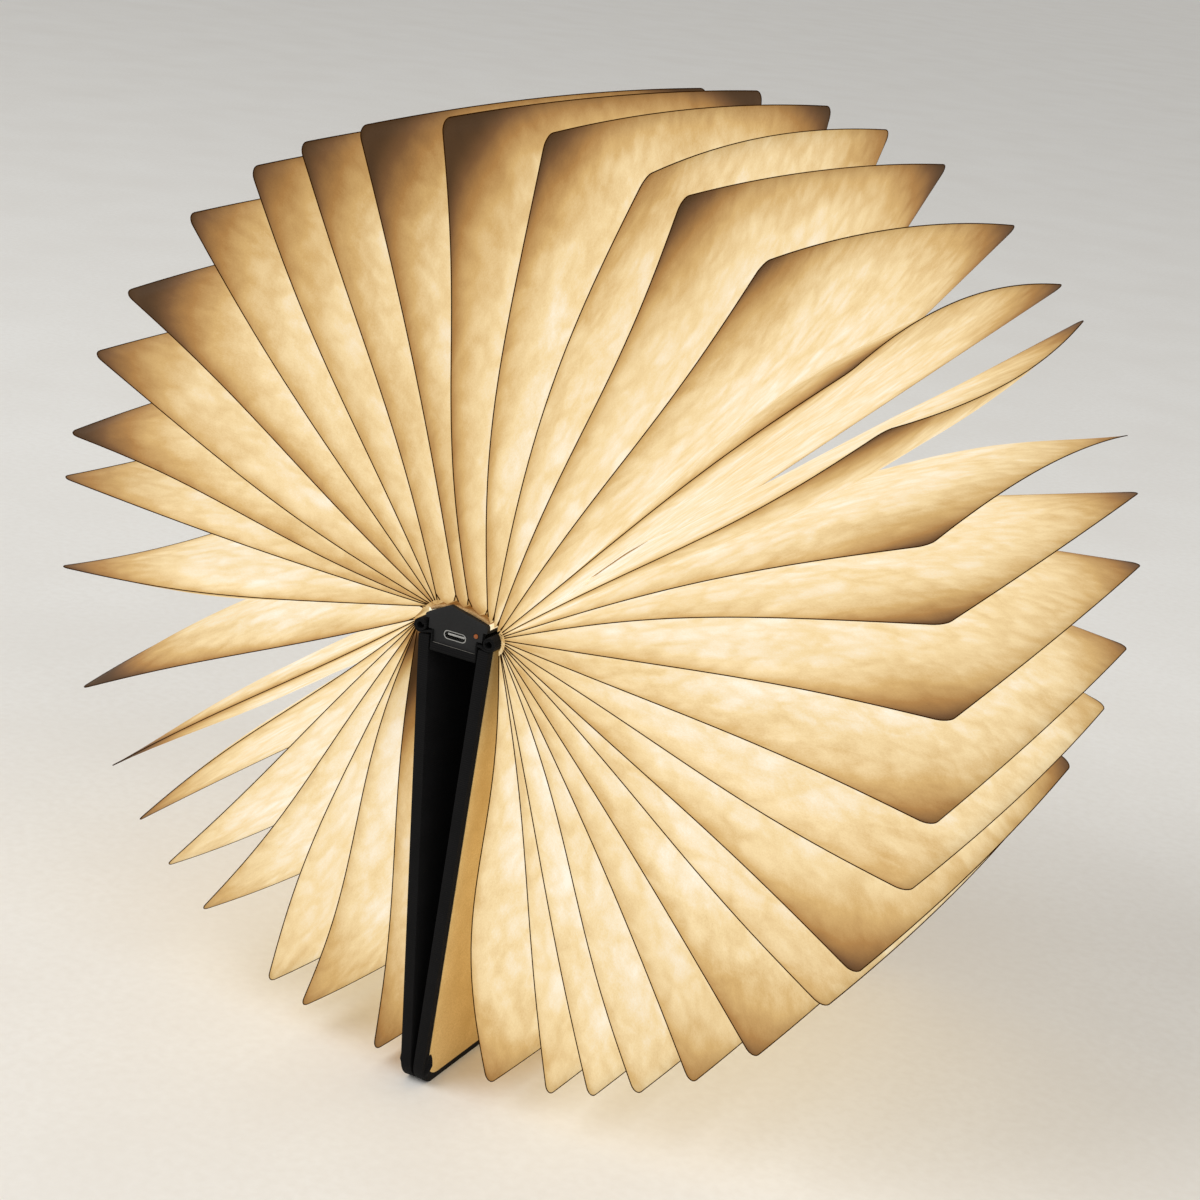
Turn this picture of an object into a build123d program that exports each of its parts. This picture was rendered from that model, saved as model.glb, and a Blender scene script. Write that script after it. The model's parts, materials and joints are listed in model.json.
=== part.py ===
from build123d import *
from math import asin, cos, degrees, radians, sin
import os

# Folding book lamp, opened all the way round and standing on the free edges of its covers.
# Sizes are in millimetres. X is to the right, Y along the spine towards its far end, Z is up.
# The origin is on the table, under the middle of the spine. Heights in the core are counted
# from the fold lines of the covers, which lie spine_height above the table.

os.makedirs("parts", exist_ok=True)

# Pages: each is a flat pocket of two thin sheets, closed round three edges
page_inset = 3.0  # from each end of the covers
page_width = 163.0  # from inner fold to outer edge
page_thickness = 0.25
page_corner = 4.5
page_pitch = 0.68  # from page to page in the shut book
# Where each page points in the open fan, in degrees clockwise from straight up, seen from the
# near end, from the left cover round to the right one. Loose paper never spreads evenly.
page_directions = (
    -179, -168, -161, -149, -141, -135, -126, -115, -99, -87, -81, -69, -59, -45, -34, -27,
    -15, -6, 6, 16, 23, 35, 47, 53, 67, 75, 86, 98, 106, 117, 125, 137, 146, 154, 161, 167, 175,
)

# The oval round the core on which the inner folds of the pages lie
fold_height = 9.3
fold_clearance = 0.5  # from the oval to the rolls of cloth
open_clearance = 1.2  # from the lining to the fold of a page that hangs straight down

# Covers: a stiff board in a cloth wrap, with a paper lining on the side of the pages
cover_length = 216.0  # along the spine
cover_reach = 176.0  # from fold line to free edge
cover_corner = 9.0
board_thickness = 3.2
wrap_thickness = 0.6
turn_in_thickness = 0.3  # the wrap's border, folded over onto the inner side of the board
turn_in_width = 12.0
lining_thickness = 0.3
lining_margin = 3.0  # from the cover's edges to the lining's
lining_corner = 8.0
fold_depth = 0.77  # how deep the fold line lies under the face of the lining
shut_clearance = 0.45  # between the lining and the last page in the shut book
foot_gap = 0.4  # between the two covers where they meet at the table

# Cloth joints: a roll of cloth along each fold line, bonded to the side of the spine
joint_radius = 2.7
joint_wall = 0.7
joint_gap = 0.4  # from the roll to the cover's edge
joint_tab_drop = 1.5  # how far below the fold line the roll's tab lies
joint_tab_thickness = 0.8

# Magnets in the covers
magnet_length = 20.0
magnet_width = 8.0
magnet_thickness = 2.0
magnet_edge = 12.0  # from free edge to magnet centre
magnet_inset = 16.0  # from each end of the cover to magnet centre
magnet_count = 3
magnet_clearance = 0.1
switch_magnet_size = 6.0
switch_magnet_reach = 12.0  # from fold line to magnet centre
switch_inset = 28.0  # from the cover's near end to the centres of magnet and switch

# Core: a channel along the spine that holds the battery, with a wide ledge for the light
core_clearance = 0.63  # from the core to the linings of the shut book
channel_depth = 4.9  # below the fold lines
core_wall = 1.2
ledge_clearance = 0.3  # from the ledge to the rolls of cloth
page_end_gap = 0.3  # from the ends of the pages to the end caps

# Spine of the book, under the core
spine_clearance = 0.97  # from the spine's cloth to the open covers
spine_board_thickness = 2.4
spine_flange_rise = 4.2  # how far the spine's cloth comes up beside the core

# Diffuser: a milky dome that follows the inner folds
dome_gap = 0.45
dome_wall = 1.2

# End caps, and the plug by which each sits in the channel
cap_thickness = 2.0
cap_peak_offset = -3.0
cap_peak_height = 9.7
cap_left_shoulder = 4.7
cap_right_shoulder = 5.9
cap_neck_clearance = 0.3  # from the rolls of cloth
cap_rounding = 1.2
cap_plug_length = 4.0
cap_clearance = 0.2

# Light: an aluminium board with two rows of light-emitting diodes
led_board_width = 19.0
led_board_thickness = 1.0
led_board_margin = 3.0  # from each end of the core
led_width = 3.5
led_length = 2.8
led_height = 0.8
led_row_spacing = 10.0
led_pitch = 12.0
led_end_margin = 6.0  # least distance from the end of the board to the first diode's place

# Magnet switch on the same board: it wakes the light when the cover's magnet swings away
switch_width = 1.6
switch_length = 3.0
switch_height = 0.7
switch_leg_length = 0.5
switch_leg_thickness = 0.2
switch_offset = 8.3

# Battery: two flat cells, end to end in the channel
cell_clearance = 0.4  # from each side of the channel
cell_height = 6.0
cell_gap = 3.0
cell_end_gap = 10.0  # from the cells to the charging board and to the far cap's plug
cell_rounding = 1.5

# Charging board, with its socket at the near end and a light that shows the charge
charge_board_length = 20.0
charge_board_thickness = 1.2
port_width = 8.94
port_height = 3.2
port_length = 7.3
port_wall = 0.3
port_back = 0.8
port_tongue_width = 6.7
port_tongue_height = 0.7
port_tongue_inset = 1.0
port_clearance = 0.15
light_radius = 0.8
light_offset = 8.2
light_height = 1.4  # above the fold lines
light_proud = 0.15

# Worked out from the sizes above
page_length = cover_length - 2 * page_inset
stack_half = page_pitch * len(page_directions) / 2
hinge_x = stack_half + shut_clearance + fold_depth
wrap_depth = board_thickness + wrap_thickness + turn_in_thickness + lining_thickness - fold_depth
wedge_angle = degrees(asin((hinge_x - wrap_depth - foot_gap / 2) / cover_reach))
spine_height = cover_reach * cos(radians(wedge_angle)) - wrap_depth * sin(radians(wedge_angle))
cover_start = joint_radius + joint_gap

fold_half_width = hinge_x + joint_radius + fold_clearance
# How far round the oval a page folds that points straight down, in degrees
fold_reach = 180 - degrees(asin((hinge_x + fold_depth + open_clearance) / fold_half_width))

core_length = page_length + 2 * page_end_gap
core_half_width = hinge_x - fold_depth - core_clearance
spine_half_width = hinge_x - wrap_depth - spine_clearance
channel_half_width = spine_half_width - wrap_thickness
channel_inside = channel_half_width - core_wall
channel_floor = core_wall - channel_depth
ledge_height = joint_radius + ledge_clearance
ledge_top = ledge_height + core_wall
led_level = ledge_top + led_board_thickness
flange_top = spine_flange_rise - channel_depth
cell_half_width = channel_inside - cell_clearance
charge_board_top = channel_floor + charge_board_thickness
port_level = charge_board_top + port_height / 2
switch_offset_y = switch_inset - cover_length / 2

core_section = Plane(origin=(0, 0, spine_height), x_dir=(1, 0, 0), z_dir=(0, -1, 0))
near_face = core_section.offset(core_length / 2 + cap_thickness)
top_of_board = Plane.XY.offset(spine_height + led_level)


def leaf_plane(fold_x, fold_z, direction, flip=False):
    """Plane of a flat leaf: its x axis runs from the fold line to the outer edge."""
    angle = radians(direction)
    face = -1 if flip else 1
    return Plane(
        origin=(fold_x, 0, spine_height + fold_z),
        x_dir=(sin(angle), 0, cos(angle)),
        z_dir=(face * cos(angle), 0, -face * sin(angle)),
    )


def leaf_sketch(start, end, length, corner):
    """Sketch a leaf between two distances from its fold, rounded at its outer corners."""
    with Locations(((start + end) / 2, 0)):
        Rectangle(end - start, length)
    fillet(vertices().group_by(Axis.X)[-1], corner)


def bar_sketch(low, high, half_width, mode=Mode.ADD):
    """Sketch a rectangle between two heights, centred on the spine."""
    with Locations((0, (low + high) / 2)):
        Rectangle(2 * half_width, high - low, mode=mode)


def magnets_sketch(bar_spots, switch_spots, clearance=0.0):
    """Sketch a cover's magnets, or the pockets that hold them with a clearance all round."""
    for spot in bar_spots:
        with Locations(spot):
            Rectangle(magnet_width + 2 * clearance, magnet_length + 2 * clearance)
    for spot in switch_spots:
        with Locations(spot):
            Rectangle(switch_magnet_size + 2 * clearance, switch_magnet_size + 2 * clearance)


def save(piece, name):
    """Label a finished piece and write its file."""
    piece.part.label = name
    export_step(piece.part, f"parts/{name}.step")


# Pages: spread round the oval, from the left cover to the right one
for number, direction in enumerate(page_directions, start=1):
    fold_angle = radians(fold_reach * direction / 180)
    fold_x = fold_half_width * sin(fold_angle)
    fold_z = fold_height * cos(fold_angle)
    with BuildPart() as page:
        with BuildSketch(leaf_plane(fold_x, fold_z, direction)):
            leaf_sketch(0, page_width, page_length, page_corner)
        extrude(amount=page_thickness / 2, both=True)
    save(page, f"page_{number:02d}")

# Covers: levels are counted from the fold line towards the lining
board_level = fold_depth - lining_thickness - turn_in_thickness - board_thickness
turn_in_level = board_level + board_thickness
lining_level = turn_in_level + turn_in_thickness
board_start = cover_start + wrap_thickness
board_end = cover_reach - wrap_thickness
board_length = cover_length - 2 * wrap_thickness
board_corner = cover_corner - wrap_thickness
window_end = cover_reach - turn_in_width
window_length = cover_length - 2 * turn_in_width
lining_end = cover_reach - lining_margin
lining_length = cover_length - 2 * lining_margin

for side, name in ((-1, "left"), (1, "right")):
    cover_plane = leaf_plane(side * hinge_x, 0, side * (180 + wedge_angle), flip=side > 0)
    magnet_spacing = (cover_length - 2 * magnet_inset) / (magnet_count - 1)
    magnet_row = GridLocations(0, magnet_spacing, 1, magnet_count)
    magnet_spots = [(cover_reach - magnet_edge, spot.position.Y) for spot in magnet_row]
    switch_spots = [(switch_magnet_reach, switch_offset_y)] if side > 0 else []

    with BuildPart() as cover_board:
        with BuildSketch(cover_plane.offset(board_level)):
            leaf_sketch(board_start, board_end, board_length, board_corner)
        extrude(amount=board_thickness)
        with BuildSketch(cover_plane.offset(board_level)):
            magnets_sketch(magnet_spots, switch_spots, magnet_clearance)
        extrude(amount=magnet_thickness, mode=Mode.SUBTRACT)
    save(cover_board, f"{name}_cover_board")

    with BuildPart() as magnets:
        with BuildSketch(cover_plane.offset(board_level)):
            magnets_sketch(magnet_spots, switch_spots)
        extrude(amount=magnet_thickness)
    save(magnets, f"{name}_magnets")

    # The wrap encloses the board but for a window on the lining's side; its foot is level
    with BuildPart() as cover_wrap:
        with BuildSketch(cover_plane.offset(-wrap_depth)):
            leaf_sketch(cover_start, cover_reach, cover_length, cover_corner)
        extrude(amount=wrap_depth + lining_level)
        with BuildSketch(cover_plane.offset(board_level)):
            leaf_sketch(board_start, board_end, board_length, board_corner)
        extrude(amount=board_thickness, mode=Mode.SUBTRACT)
        with BuildSketch(cover_plane.offset(turn_in_level)):
            leaf_sketch(cover_start, window_end, window_length, page_corner)
        extrude(amount=turn_in_thickness, mode=Mode.SUBTRACT)
        split(bisect_by=Plane.XY, keep=Keep.TOP)
    save(cover_wrap, f"{name}_cover_wrap")

    with BuildPart() as lining:
        with BuildSketch(cover_plane.offset(turn_in_level)):
            leaf_sketch(cover_start, window_end, window_length, page_corner)
        extrude(amount=turn_in_thickness)
        with BuildSketch(cover_plane.offset(lining_level)):
            leaf_sketch(cover_start, lining_end, lining_length, lining_corner)
        extrude(amount=lining_thickness)
    save(lining, f"{name}_lining")

    # The roll lies on the fold line, and a tab bonds it to the spine's cloth
    with BuildPart() as joint_cloth:
        with BuildSketch(core_section):
            with Locations((side * hinge_x, 0)):
                Circle(joint_radius)
            with Locations((side * (hinge_x + spine_half_width) / 2, -joint_tab_drop)):
                Rectangle(hinge_x - spine_half_width, joint_tab_thickness)
            with Locations((side * hinge_x, 0)):
                Circle(joint_radius - joint_wall, mode=Mode.SUBTRACT)
        extrude(amount=cover_length / 2, both=True)
    save(joint_cloth, f"{name}_joint_cloth")

# Spine of the book: its board, and the cloth round it
spine_board_bottom = -channel_depth - spine_board_thickness

with BuildPart() as spine_board:
    with BuildSketch(core_section):
        bar_sketch(spine_board_bottom, -channel_depth, channel_half_width)
    extrude(amount=cover_length / 2 - wrap_thickness, both=True)
save(spine_board, "spine_board")

with BuildPart() as spine_wrap:
    with BuildSketch(core_section):
        bar_sketch(spine_board_bottom - wrap_thickness, flange_top, spine_half_width)
        bar_sketch(-channel_depth, flange_top, channel_half_width, Mode.SUBTRACT)
    extrude(amount=cover_length / 2, both=True)
    with BuildSketch(core_section):
        bar_sketch(spine_board_bottom, -channel_depth, channel_half_width)
    extrude(amount=cover_length / 2 - wrap_thickness, both=True, mode=Mode.SUBTRACT)
save(spine_wrap, "spine_wrap")

# Core housing: a T of black plastic, open along its top
with BuildPart() as core_housing:
    with BuildSketch(core_section):
        bar_sketch(-channel_depth, ledge_top, channel_half_width)
        bar_sketch(ledge_height, ledge_top, core_half_width)
        bar_sketch(channel_floor, ledge_top, channel_inside, Mode.SUBTRACT)
    extrude(amount=core_length / 2, both=True)
save(core_housing, "core_housing")

# Diffuser: a shell between two ovals, standing on the ledge
dome_half_width = fold_half_width - dome_gap
dome_height = fold_height - dome_gap

with BuildPart() as diffuser:
    with BuildSketch(core_section):
        Ellipse(dome_half_width, dome_height)
        bar_sketch(ledge_top, dome_height, core_half_width, Mode.INTERSECT)
    extrude(amount=core_length / 2, both=True)
    with BuildSketch(core_section):
        Ellipse(dome_half_width - dome_wall, dome_height - dome_wall)
        bar_sketch(ledge_top, dome_height, core_half_width - dome_wall, Mode.INTERSECT)
    extrude(amount=core_length / 2, both=True, mode=Mode.SUBTRACT)
save(diffuser, "diffuser")

# End caps: a roof above the ledge, a neck between the rolls of cloth, a foot on the spine
cap_cheek = ledge_height + cap_clearance
cap_neck_half_width = hinge_x - joint_radius - cap_neck_clearance
cap_outline = (
    (-cap_neck_half_width, flange_top + cap_clearance),
    (-cap_neck_half_width, cap_cheek),
    (-core_half_width, cap_cheek),
    (-core_half_width, cap_left_shoulder),
    (cap_peak_offset, cap_peak_height),
    (core_half_width, cap_right_shoulder),
    (core_half_width, cap_cheek),
    (cap_neck_half_width, cap_cheek),
    (cap_neck_half_width, flange_top + cap_clearance),
    (channel_half_width, flange_top + cap_clearance),
    (channel_half_width, -channel_depth),
    (-channel_half_width, -channel_depth),
    (-channel_half_width, flange_top + cap_clearance),
)
plug_half_width = channel_inside - cap_clearance
plug_bottom = charge_board_top + cap_clearance
light_spot = (light_offset, light_height)

for end, name in ((1, "near"), (-1, "far")):
    inner_face = core_section.offset(end * core_length / 2)
    with BuildPart() as end_cap:
        with BuildSketch(inner_face):
            with BuildLine():
                Polyline(*cap_outline, close=True)
            make_face()
            roof_corners = vertices().filter_by_position(Axis.Y, cap_cheek + cap_rounding, cap_peak_height)
            fillet(roof_corners, cap_rounding)
        extrude(amount=end * cap_thickness)
        with BuildSketch(inner_face):
            bar_sketch(plug_bottom, ledge_top, plug_half_width)
        extrude(amount=-end * cap_plug_length)
        if name == "near":
            with BuildSketch(inner_face):
                with Locations((0, port_level)):
                    SlotOverall(port_width + 2 * port_clearance, port_height + 2 * port_clearance)
                with Locations(light_spot):
                    Circle(light_radius + port_clearance)
            extrude(amount=cap_thickness, mode=Mode.SUBTRACT)
            with BuildSketch(inner_face):
                bar_sketch(plug_bottom, port_level + port_height, plug_half_width)
            extrude(amount=-cap_plug_length, mode=Mode.SUBTRACT)
    save(end_cap, f"{name}_end_cap")

# Light: the board on the ledge, with the diodes and the magnet switch on it
led_board_length = core_length - 2 * led_board_margin
led_count = int((led_board_length - 2 * led_end_margin) / led_pitch)

with BuildPart() as led_board:
    with BuildSketch(core_section):
        bar_sketch(ledge_top, led_level, led_board_width / 2)
    extrude(amount=led_board_length / 2, both=True)
save(led_board, "led_board")

with BuildPart() as leds:
    with BuildSketch(top_of_board):
        with GridLocations(led_row_spacing, led_pitch, 2, led_count):
            Rectangle(led_width, led_length)
    extrude(amount=led_height)
save(leds, "leds")

with BuildPart() as magnet_switch:
    with BuildSketch(top_of_board):
        with Locations((switch_offset, switch_offset_y)):
            Rectangle(switch_width, switch_length)
    extrude(amount=switch_height)
    with BuildSketch(top_of_board):
        with Locations((switch_offset, switch_offset_y)):
            Rectangle(switch_width / 2, switch_length + 2 * switch_leg_length)
    extrude(amount=switch_leg_thickness)
save(magnet_switch, "magnet_switch")

# Battery: the cells lie on the floor of the channel, between charging board and far cap
cells_start = charge_board_length + cell_end_gap - core_length / 2
cells_end = core_length / 2 - cap_plug_length - cell_end_gap
cell_length = (cells_end - cells_start - cell_gap) / 2

with BuildPart() as battery_cells:
    with BuildSketch(Plane.XY.offset(spine_height + channel_floor)):
        with Locations((0, (cells_start + cells_end) / 2)):
            with GridLocations(0, cell_length + cell_gap, 1, 2):
                RectangleRounded(2 * cell_half_width, cell_length, cell_rounding)
    extrude(amount=cell_height)
save(battery_cells, "battery_cells")

# Charging board, its socket and its light, at the near end of the channel
with BuildPart() as charge_board:
    with BuildSketch(core_section.offset(core_length / 2)):
        bar_sketch(channel_floor, charge_board_top, cell_half_width)
    extrude(amount=-charge_board_length)
save(charge_board, "charge_board")

port_section = Plane(
    origin=(0, near_face.origin.Y, spine_height + port_level),
    x_dir=(1, 0, 0),
    z_dir=(0, -1, 0),
)
with BuildPart() as charging_port:
    with BuildSketch(port_section):
        SlotOverall(port_width, port_height)
    extrude(amount=-port_length)
    with BuildSketch(port_section):
        SlotOverall(port_width - 2 * port_wall, port_height - 2 * port_wall)
    extrude(amount=port_back - port_length, mode=Mode.SUBTRACT)
    with BuildSketch(port_section.offset(-port_tongue_inset)):
        Rectangle(port_tongue_width, port_tongue_height)
    extrude(amount=port_tongue_inset + port_back - port_length)
save(charging_port, "charging_port")

with BuildPart() as indicator_light:
    with BuildSketch(near_face.offset(light_proud)):
        with Locations(light_spot):
            Circle(light_radius)
    extrude(amount=-cap_thickness - light_proud)
save(indicator_light, "indicator_light")
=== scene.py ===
"""Folding book lamp, open, with its covers back to back as a stand and its pages fanned round the light.

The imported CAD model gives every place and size. This script dresses it: the pages become pockets of thin
paper, the cloth, board and plastic parts get soft edges, and every part gets a finish. Lengths are in metres.
"""

from __future__ import annotations

import json
import logging
from dataclasses import dataclass, field
from enum import Enum
from math import atan2, cos, degrees, pi, radians, sin
from typing import Any

import bmesh
import bpy
from mathutils import Matrix, Vector, noise

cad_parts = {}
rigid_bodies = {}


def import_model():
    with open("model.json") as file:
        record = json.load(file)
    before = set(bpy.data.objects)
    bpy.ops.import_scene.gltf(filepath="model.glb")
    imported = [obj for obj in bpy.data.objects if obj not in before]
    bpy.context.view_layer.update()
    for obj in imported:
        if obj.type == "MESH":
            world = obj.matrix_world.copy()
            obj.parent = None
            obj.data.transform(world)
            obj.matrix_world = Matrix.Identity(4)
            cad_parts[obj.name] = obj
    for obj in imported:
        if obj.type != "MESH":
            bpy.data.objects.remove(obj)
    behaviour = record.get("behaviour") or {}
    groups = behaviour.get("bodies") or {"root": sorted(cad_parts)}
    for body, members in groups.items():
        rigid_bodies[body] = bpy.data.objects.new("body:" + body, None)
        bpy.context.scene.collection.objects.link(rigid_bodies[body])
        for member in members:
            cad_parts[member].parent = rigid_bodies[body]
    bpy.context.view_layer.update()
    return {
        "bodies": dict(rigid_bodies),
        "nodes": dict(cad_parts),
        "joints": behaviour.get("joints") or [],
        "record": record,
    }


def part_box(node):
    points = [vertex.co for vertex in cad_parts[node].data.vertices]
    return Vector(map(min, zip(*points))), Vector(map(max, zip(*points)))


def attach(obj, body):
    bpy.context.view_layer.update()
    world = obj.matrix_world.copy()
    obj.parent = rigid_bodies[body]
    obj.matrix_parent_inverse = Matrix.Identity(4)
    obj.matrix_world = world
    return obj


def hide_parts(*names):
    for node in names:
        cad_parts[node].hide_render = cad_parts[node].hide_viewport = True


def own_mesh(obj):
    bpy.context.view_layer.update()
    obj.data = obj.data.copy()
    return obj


logging.basicConfig(level=logging.INFO, format="%(name)s: %(message)s")
log = logging.getLogger("book_lamp")

MM = 0.001
# Points closer than this are one
MERGE = 0.001 * MM
Colour = tuple[float, float, float, float]


def linear(hex_colour: str) -> Colour:
    """Turn an sRGB hex colour into the linear colour that a socket takes.

    Args:
        hex_colour: six hex digits, with or without a leading #.

    Returns:
        Linear red, green, blue and an alpha of 1.
    """
    digits = hex_colour.lstrip("#")
    channels = [int(digits[i : i + 2], 16) / 255 for i in (0, 2, 4)]
    red, green, blue = (c / 12.92 if c <= 0.04045 else ((c + 0.055) / 1.055) ** 2.4 for c in channels)
    return (red, green, blue, 1.0)


def add_node(
    tree: bpy.types.NodeTree, kind: str, links: dict[Any, Any] | None = None, **settings: Any
) -> bpy.types.Node:
    """Add a node to a tree.

    Args:
        tree: the tree that gets the node.
        kind: the node's type name.
        links: by input number or name, a constant or the socket that feeds it.
        settings: the node's own properties.

    Returns:
        The new node.
    """
    node = tree.nodes.new(kind)
    for name, value in settings.items():
        setattr(node, name, value)
    for key, value in (links or {}).items():
        socket = node.inputs[key]
        if isinstance(value, bpy.types.NodeSocket):
            tree.links.new(value, socket)
        else:
            socket.default_value = value
    return node


# ---------------------------------------------------------------------------------------------- finishes


@dataclass(frozen=True)
class Finish:
    """A material: what the surface is made of and how it was made.

    Attributes:
        name: the material's name.
        colour: main colour, sRGB hex.
        shade: darker colour of its own unevenness, sRGB hex.
        roughness: 0 mirror, 1 matt.
        metallic: 1 for bare metal.
        grain: size of the surface's texture, in metres.
        relief: height of that texture, in metres.
        sheen: strength of the soft edge light of cloth.
        gloss: how strongly the surface reflects, 0.5 for a plain plastic.
    """

    name: str
    colour: str
    shade: str
    roughness: float = 0.6
    metallic: float = 0.0
    grain: float = 1.0 * MM
    relief: float = 0.03 * MM
    sheen: float = 0.0
    gloss: float = 0.5

    # How many grains make a cloud, the detail of clouds and grains, and where their product is darkest and
    # lightest
    CLOUD_GRAINS = 25
    DETAIL = (4.0, 3.0)
    TONE_ENDS = (0.12, 0.38)

    def make(self) -> bpy.types.Material:
        """Build the material.

        Returns:
            The Blender material.
        """
        material = bpy.data.materials.new(self.name)
        material.use_nodes = True
        tree = material.node_tree
        tree.nodes.clear()
        place = add_node(tree, "ShaderNodeTexCoord").outputs["Object"]
        surface = add_node(
            tree,
            "ShaderNodeBsdfPrincipled",
            {
                "Roughness": self.roughness, "Metallic": self.metallic, "Sheen Weight": self.sheen,
                "Specular IOR Level": self.gloss,
            },
        )
        self.dress(tree, place, surface)
        add_node(tree, "ShaderNodeOutputMaterial", {"Surface": surface.outputs[0]})
        return material

    def dress(self, tree: bpy.types.NodeTree, place: bpy.types.NodeSocket, surface: bpy.types.Node) -> None:
        """Give the surface its colour and relief: a fine even texture over a faint cloudiness.

        Args:
            tree: the material's tree.
            place: Object coordinates.
            surface: the shader to feed.
        """
        clouds, grains = (
            add_node(tree, "ShaderNodeTexNoise", {"Vector": place, "Scale": 1 / size, "Detail": detail})
            for size, detail in zip((self.CLOUD_GRAINS * self.grain, self.grain), self.DETAIL)
        )
        tone = add_node(
            tree, "ShaderNodeMath", {0: clouds.outputs[0], 1: grains.outputs[0]}, operation="MULTIPLY"
        )
        self.colour_by(tree, tone.outputs[0], surface)
        bump = add_node(
            tree, "ShaderNodeBump", {"Height": grains.outputs[0], "Distance": self.relief, "Strength": 1.0}
        )
        tree.links.new(bump.outputs[0], surface.inputs["Normal"])

    def colour_by(
        self, tree: bpy.types.NodeTree, tone: bpy.types.NodeSocket, surface: bpy.types.Node
    ) -> None:
        """Colour the surface from its shade to its colour.

        Args:
            tree: the material's tree.
            tone: how light the surface is at a place.
            surface: the shader to feed.
        """
        ramp = add_node(tree, "ShaderNodeValToRGB", {0: tone})
        for element, position, colour in zip(
            ramp.color_ramp.elements, self.TONE_ENDS, (self.shade, self.colour)
        ):
            element.position, element.color = position, linear(colour)
        tree.links.new(ramp.outputs[0], surface.inputs["Base Color"])


@dataclass(frozen=True)
class BookCloth(Finish):
    """Woven cloth, filled and dyed: a plain weave of over-and-under threads."""

    # How far the threads stray, how many of them make a patch of lint, and where the tone is darkest and
    # lightest
    STRAY = 0.6
    LINT_THREADS = 12
    TONE_ENDS = (0.05, 0.55)

    def dress(self, tree: bpy.types.NodeTree, place: bpy.types.NodeSocket, surface: bpy.types.Node) -> None:
        """Weave the threads. The real thread spacing of 0.4 mm is drawn at twice that, so that it shows.

        Args:
            tree: the material's tree.
            place: Object coordinates.
            surface: the shader to feed.
        """
        waves = []
        for direction in ("X", "Y", "Z"):
            wave = add_node(
                tree,
                "ShaderNodeTexWave",
                {
                    "Vector": place, "Scale": pi / (10 * self.grain),
                    "Distortion": self.STRAY, "Detail": 2.0, "Detail Scale": 1.5,
                },
                bands_direction=direction,
            )
            waves.append(wave.outputs["Fac"])
        across = add_node(tree, "ShaderNodeMath", {0: waves[0], 1: waves[1]}, operation="MULTIPLY")
        weave = add_node(tree, "ShaderNodeMath", {0: across.outputs[0], 1: waves[2]}, operation="MAXIMUM")
        lint_scale = 1 / (self.LINT_THREADS * self.grain)
        lint = add_node(tree, "ShaderNodeTexNoise", {"Vector": place, "Scale": lint_scale, "Detail": 6.0})
        tone = add_node(
            tree, "ShaderNodeMath", {0: weave.outputs[0], 1: lint.outputs[0]}, operation="MULTIPLY"
        )
        self.colour_by(tree, tone.outputs[0], surface)
        bump = add_node(
            tree, "ShaderNodeBump", {"Height": weave.outputs[0], "Distance": self.relief, "Strength": 1.0}
        )
        tree.links.new(bump.outputs[0], surface.inputs["Normal"])


@dataclass(frozen=True)
class LitFinish(Finish):
    """A part that gives light, such as the opal diffuser, or one whose faint glow is a painted glint.

    Attributes:
        glow: strength of its light.
    """

    glow: float = 1.0

    def dress(self, tree: bpy.types.NodeTree, place: bpy.types.NodeSocket, surface: bpy.types.Node) -> None:
        """Dress it as any finish, then let its own colour give light.

        Args:
            tree: the material's tree.
            place: Object coordinates.
            surface: the shader to feed.
        """
        super().dress(tree, place, surface)
        surface.inputs["Emission Color"].default_value = linear(self.colour)
        surface.inputs["Emission Strength"].default_value = self.glow


@dataclass(frozen=True)
class LiningPaper(Finish):
    """Lining paper, darkened with painted shade where it dips into the joint.

    Attributes:
        clean: height below which the paper has no painted shade.
        soaked: height above which the painted shade is deepest.
        stain: what the paper keeps of its colour under the deepest painted shade.
    """

    clean: float = 125 * MM
    soaked: float = 172 * MM
    stain: float = 0.42

    def dress(self, tree: bpy.types.NodeTree, place: bpy.types.NodeSocket, surface: bpy.types.Node) -> None:
        """Dress it as any finish, then darken it with painted shade towards the joint.

        Args:
            tree: the material's tree.
            place: Object coordinates.
            surface: the shader to feed.
        """
        super().dress(tree, place, surface)
        plain = surface.inputs["Base Color"].links[0].from_socket
        # Painted shade: the higher the paper, towards the joint, the darker
        height = add_node(tree, "ShaderNodeSeparateXYZ", {0: place}).outputs[2]
        lit_share = add_node(
            tree, "ShaderNodeMapRange",
            {"Value": height, 1: self.clean, 2: self.soaked, 3: 1.0, 4: self.stain},
            interpolation_type="SMOOTHSTEP",
        ).outputs[0]
        shaded_colour = add_node(
            tree, "ShaderNodeVectorMath", {0: plain, "Scale": lit_share}, operation="SCALE"
        ).outputs[0]
        tree.links.new(shaded_colour, surface.inputs["Base Color"])


@dataclass(frozen=True)
class PaperLayer:
    """One layer of the paper's unevenness, which in the clouds is partly painted shadow of the other sheets.

    Attributes:
        size: how large its patches are.
        height: how much it changes the light.
        detail: octaves of finer patches in them.
        swirl: how far the patches are dragged about.
        turn: which way its streaks run on the sheet, in radians, or None where it has none.
    """

    size: float
    height: float
    detail: float = 3.0
    swirl: float = 0.0
    turn: float | None = None


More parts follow.
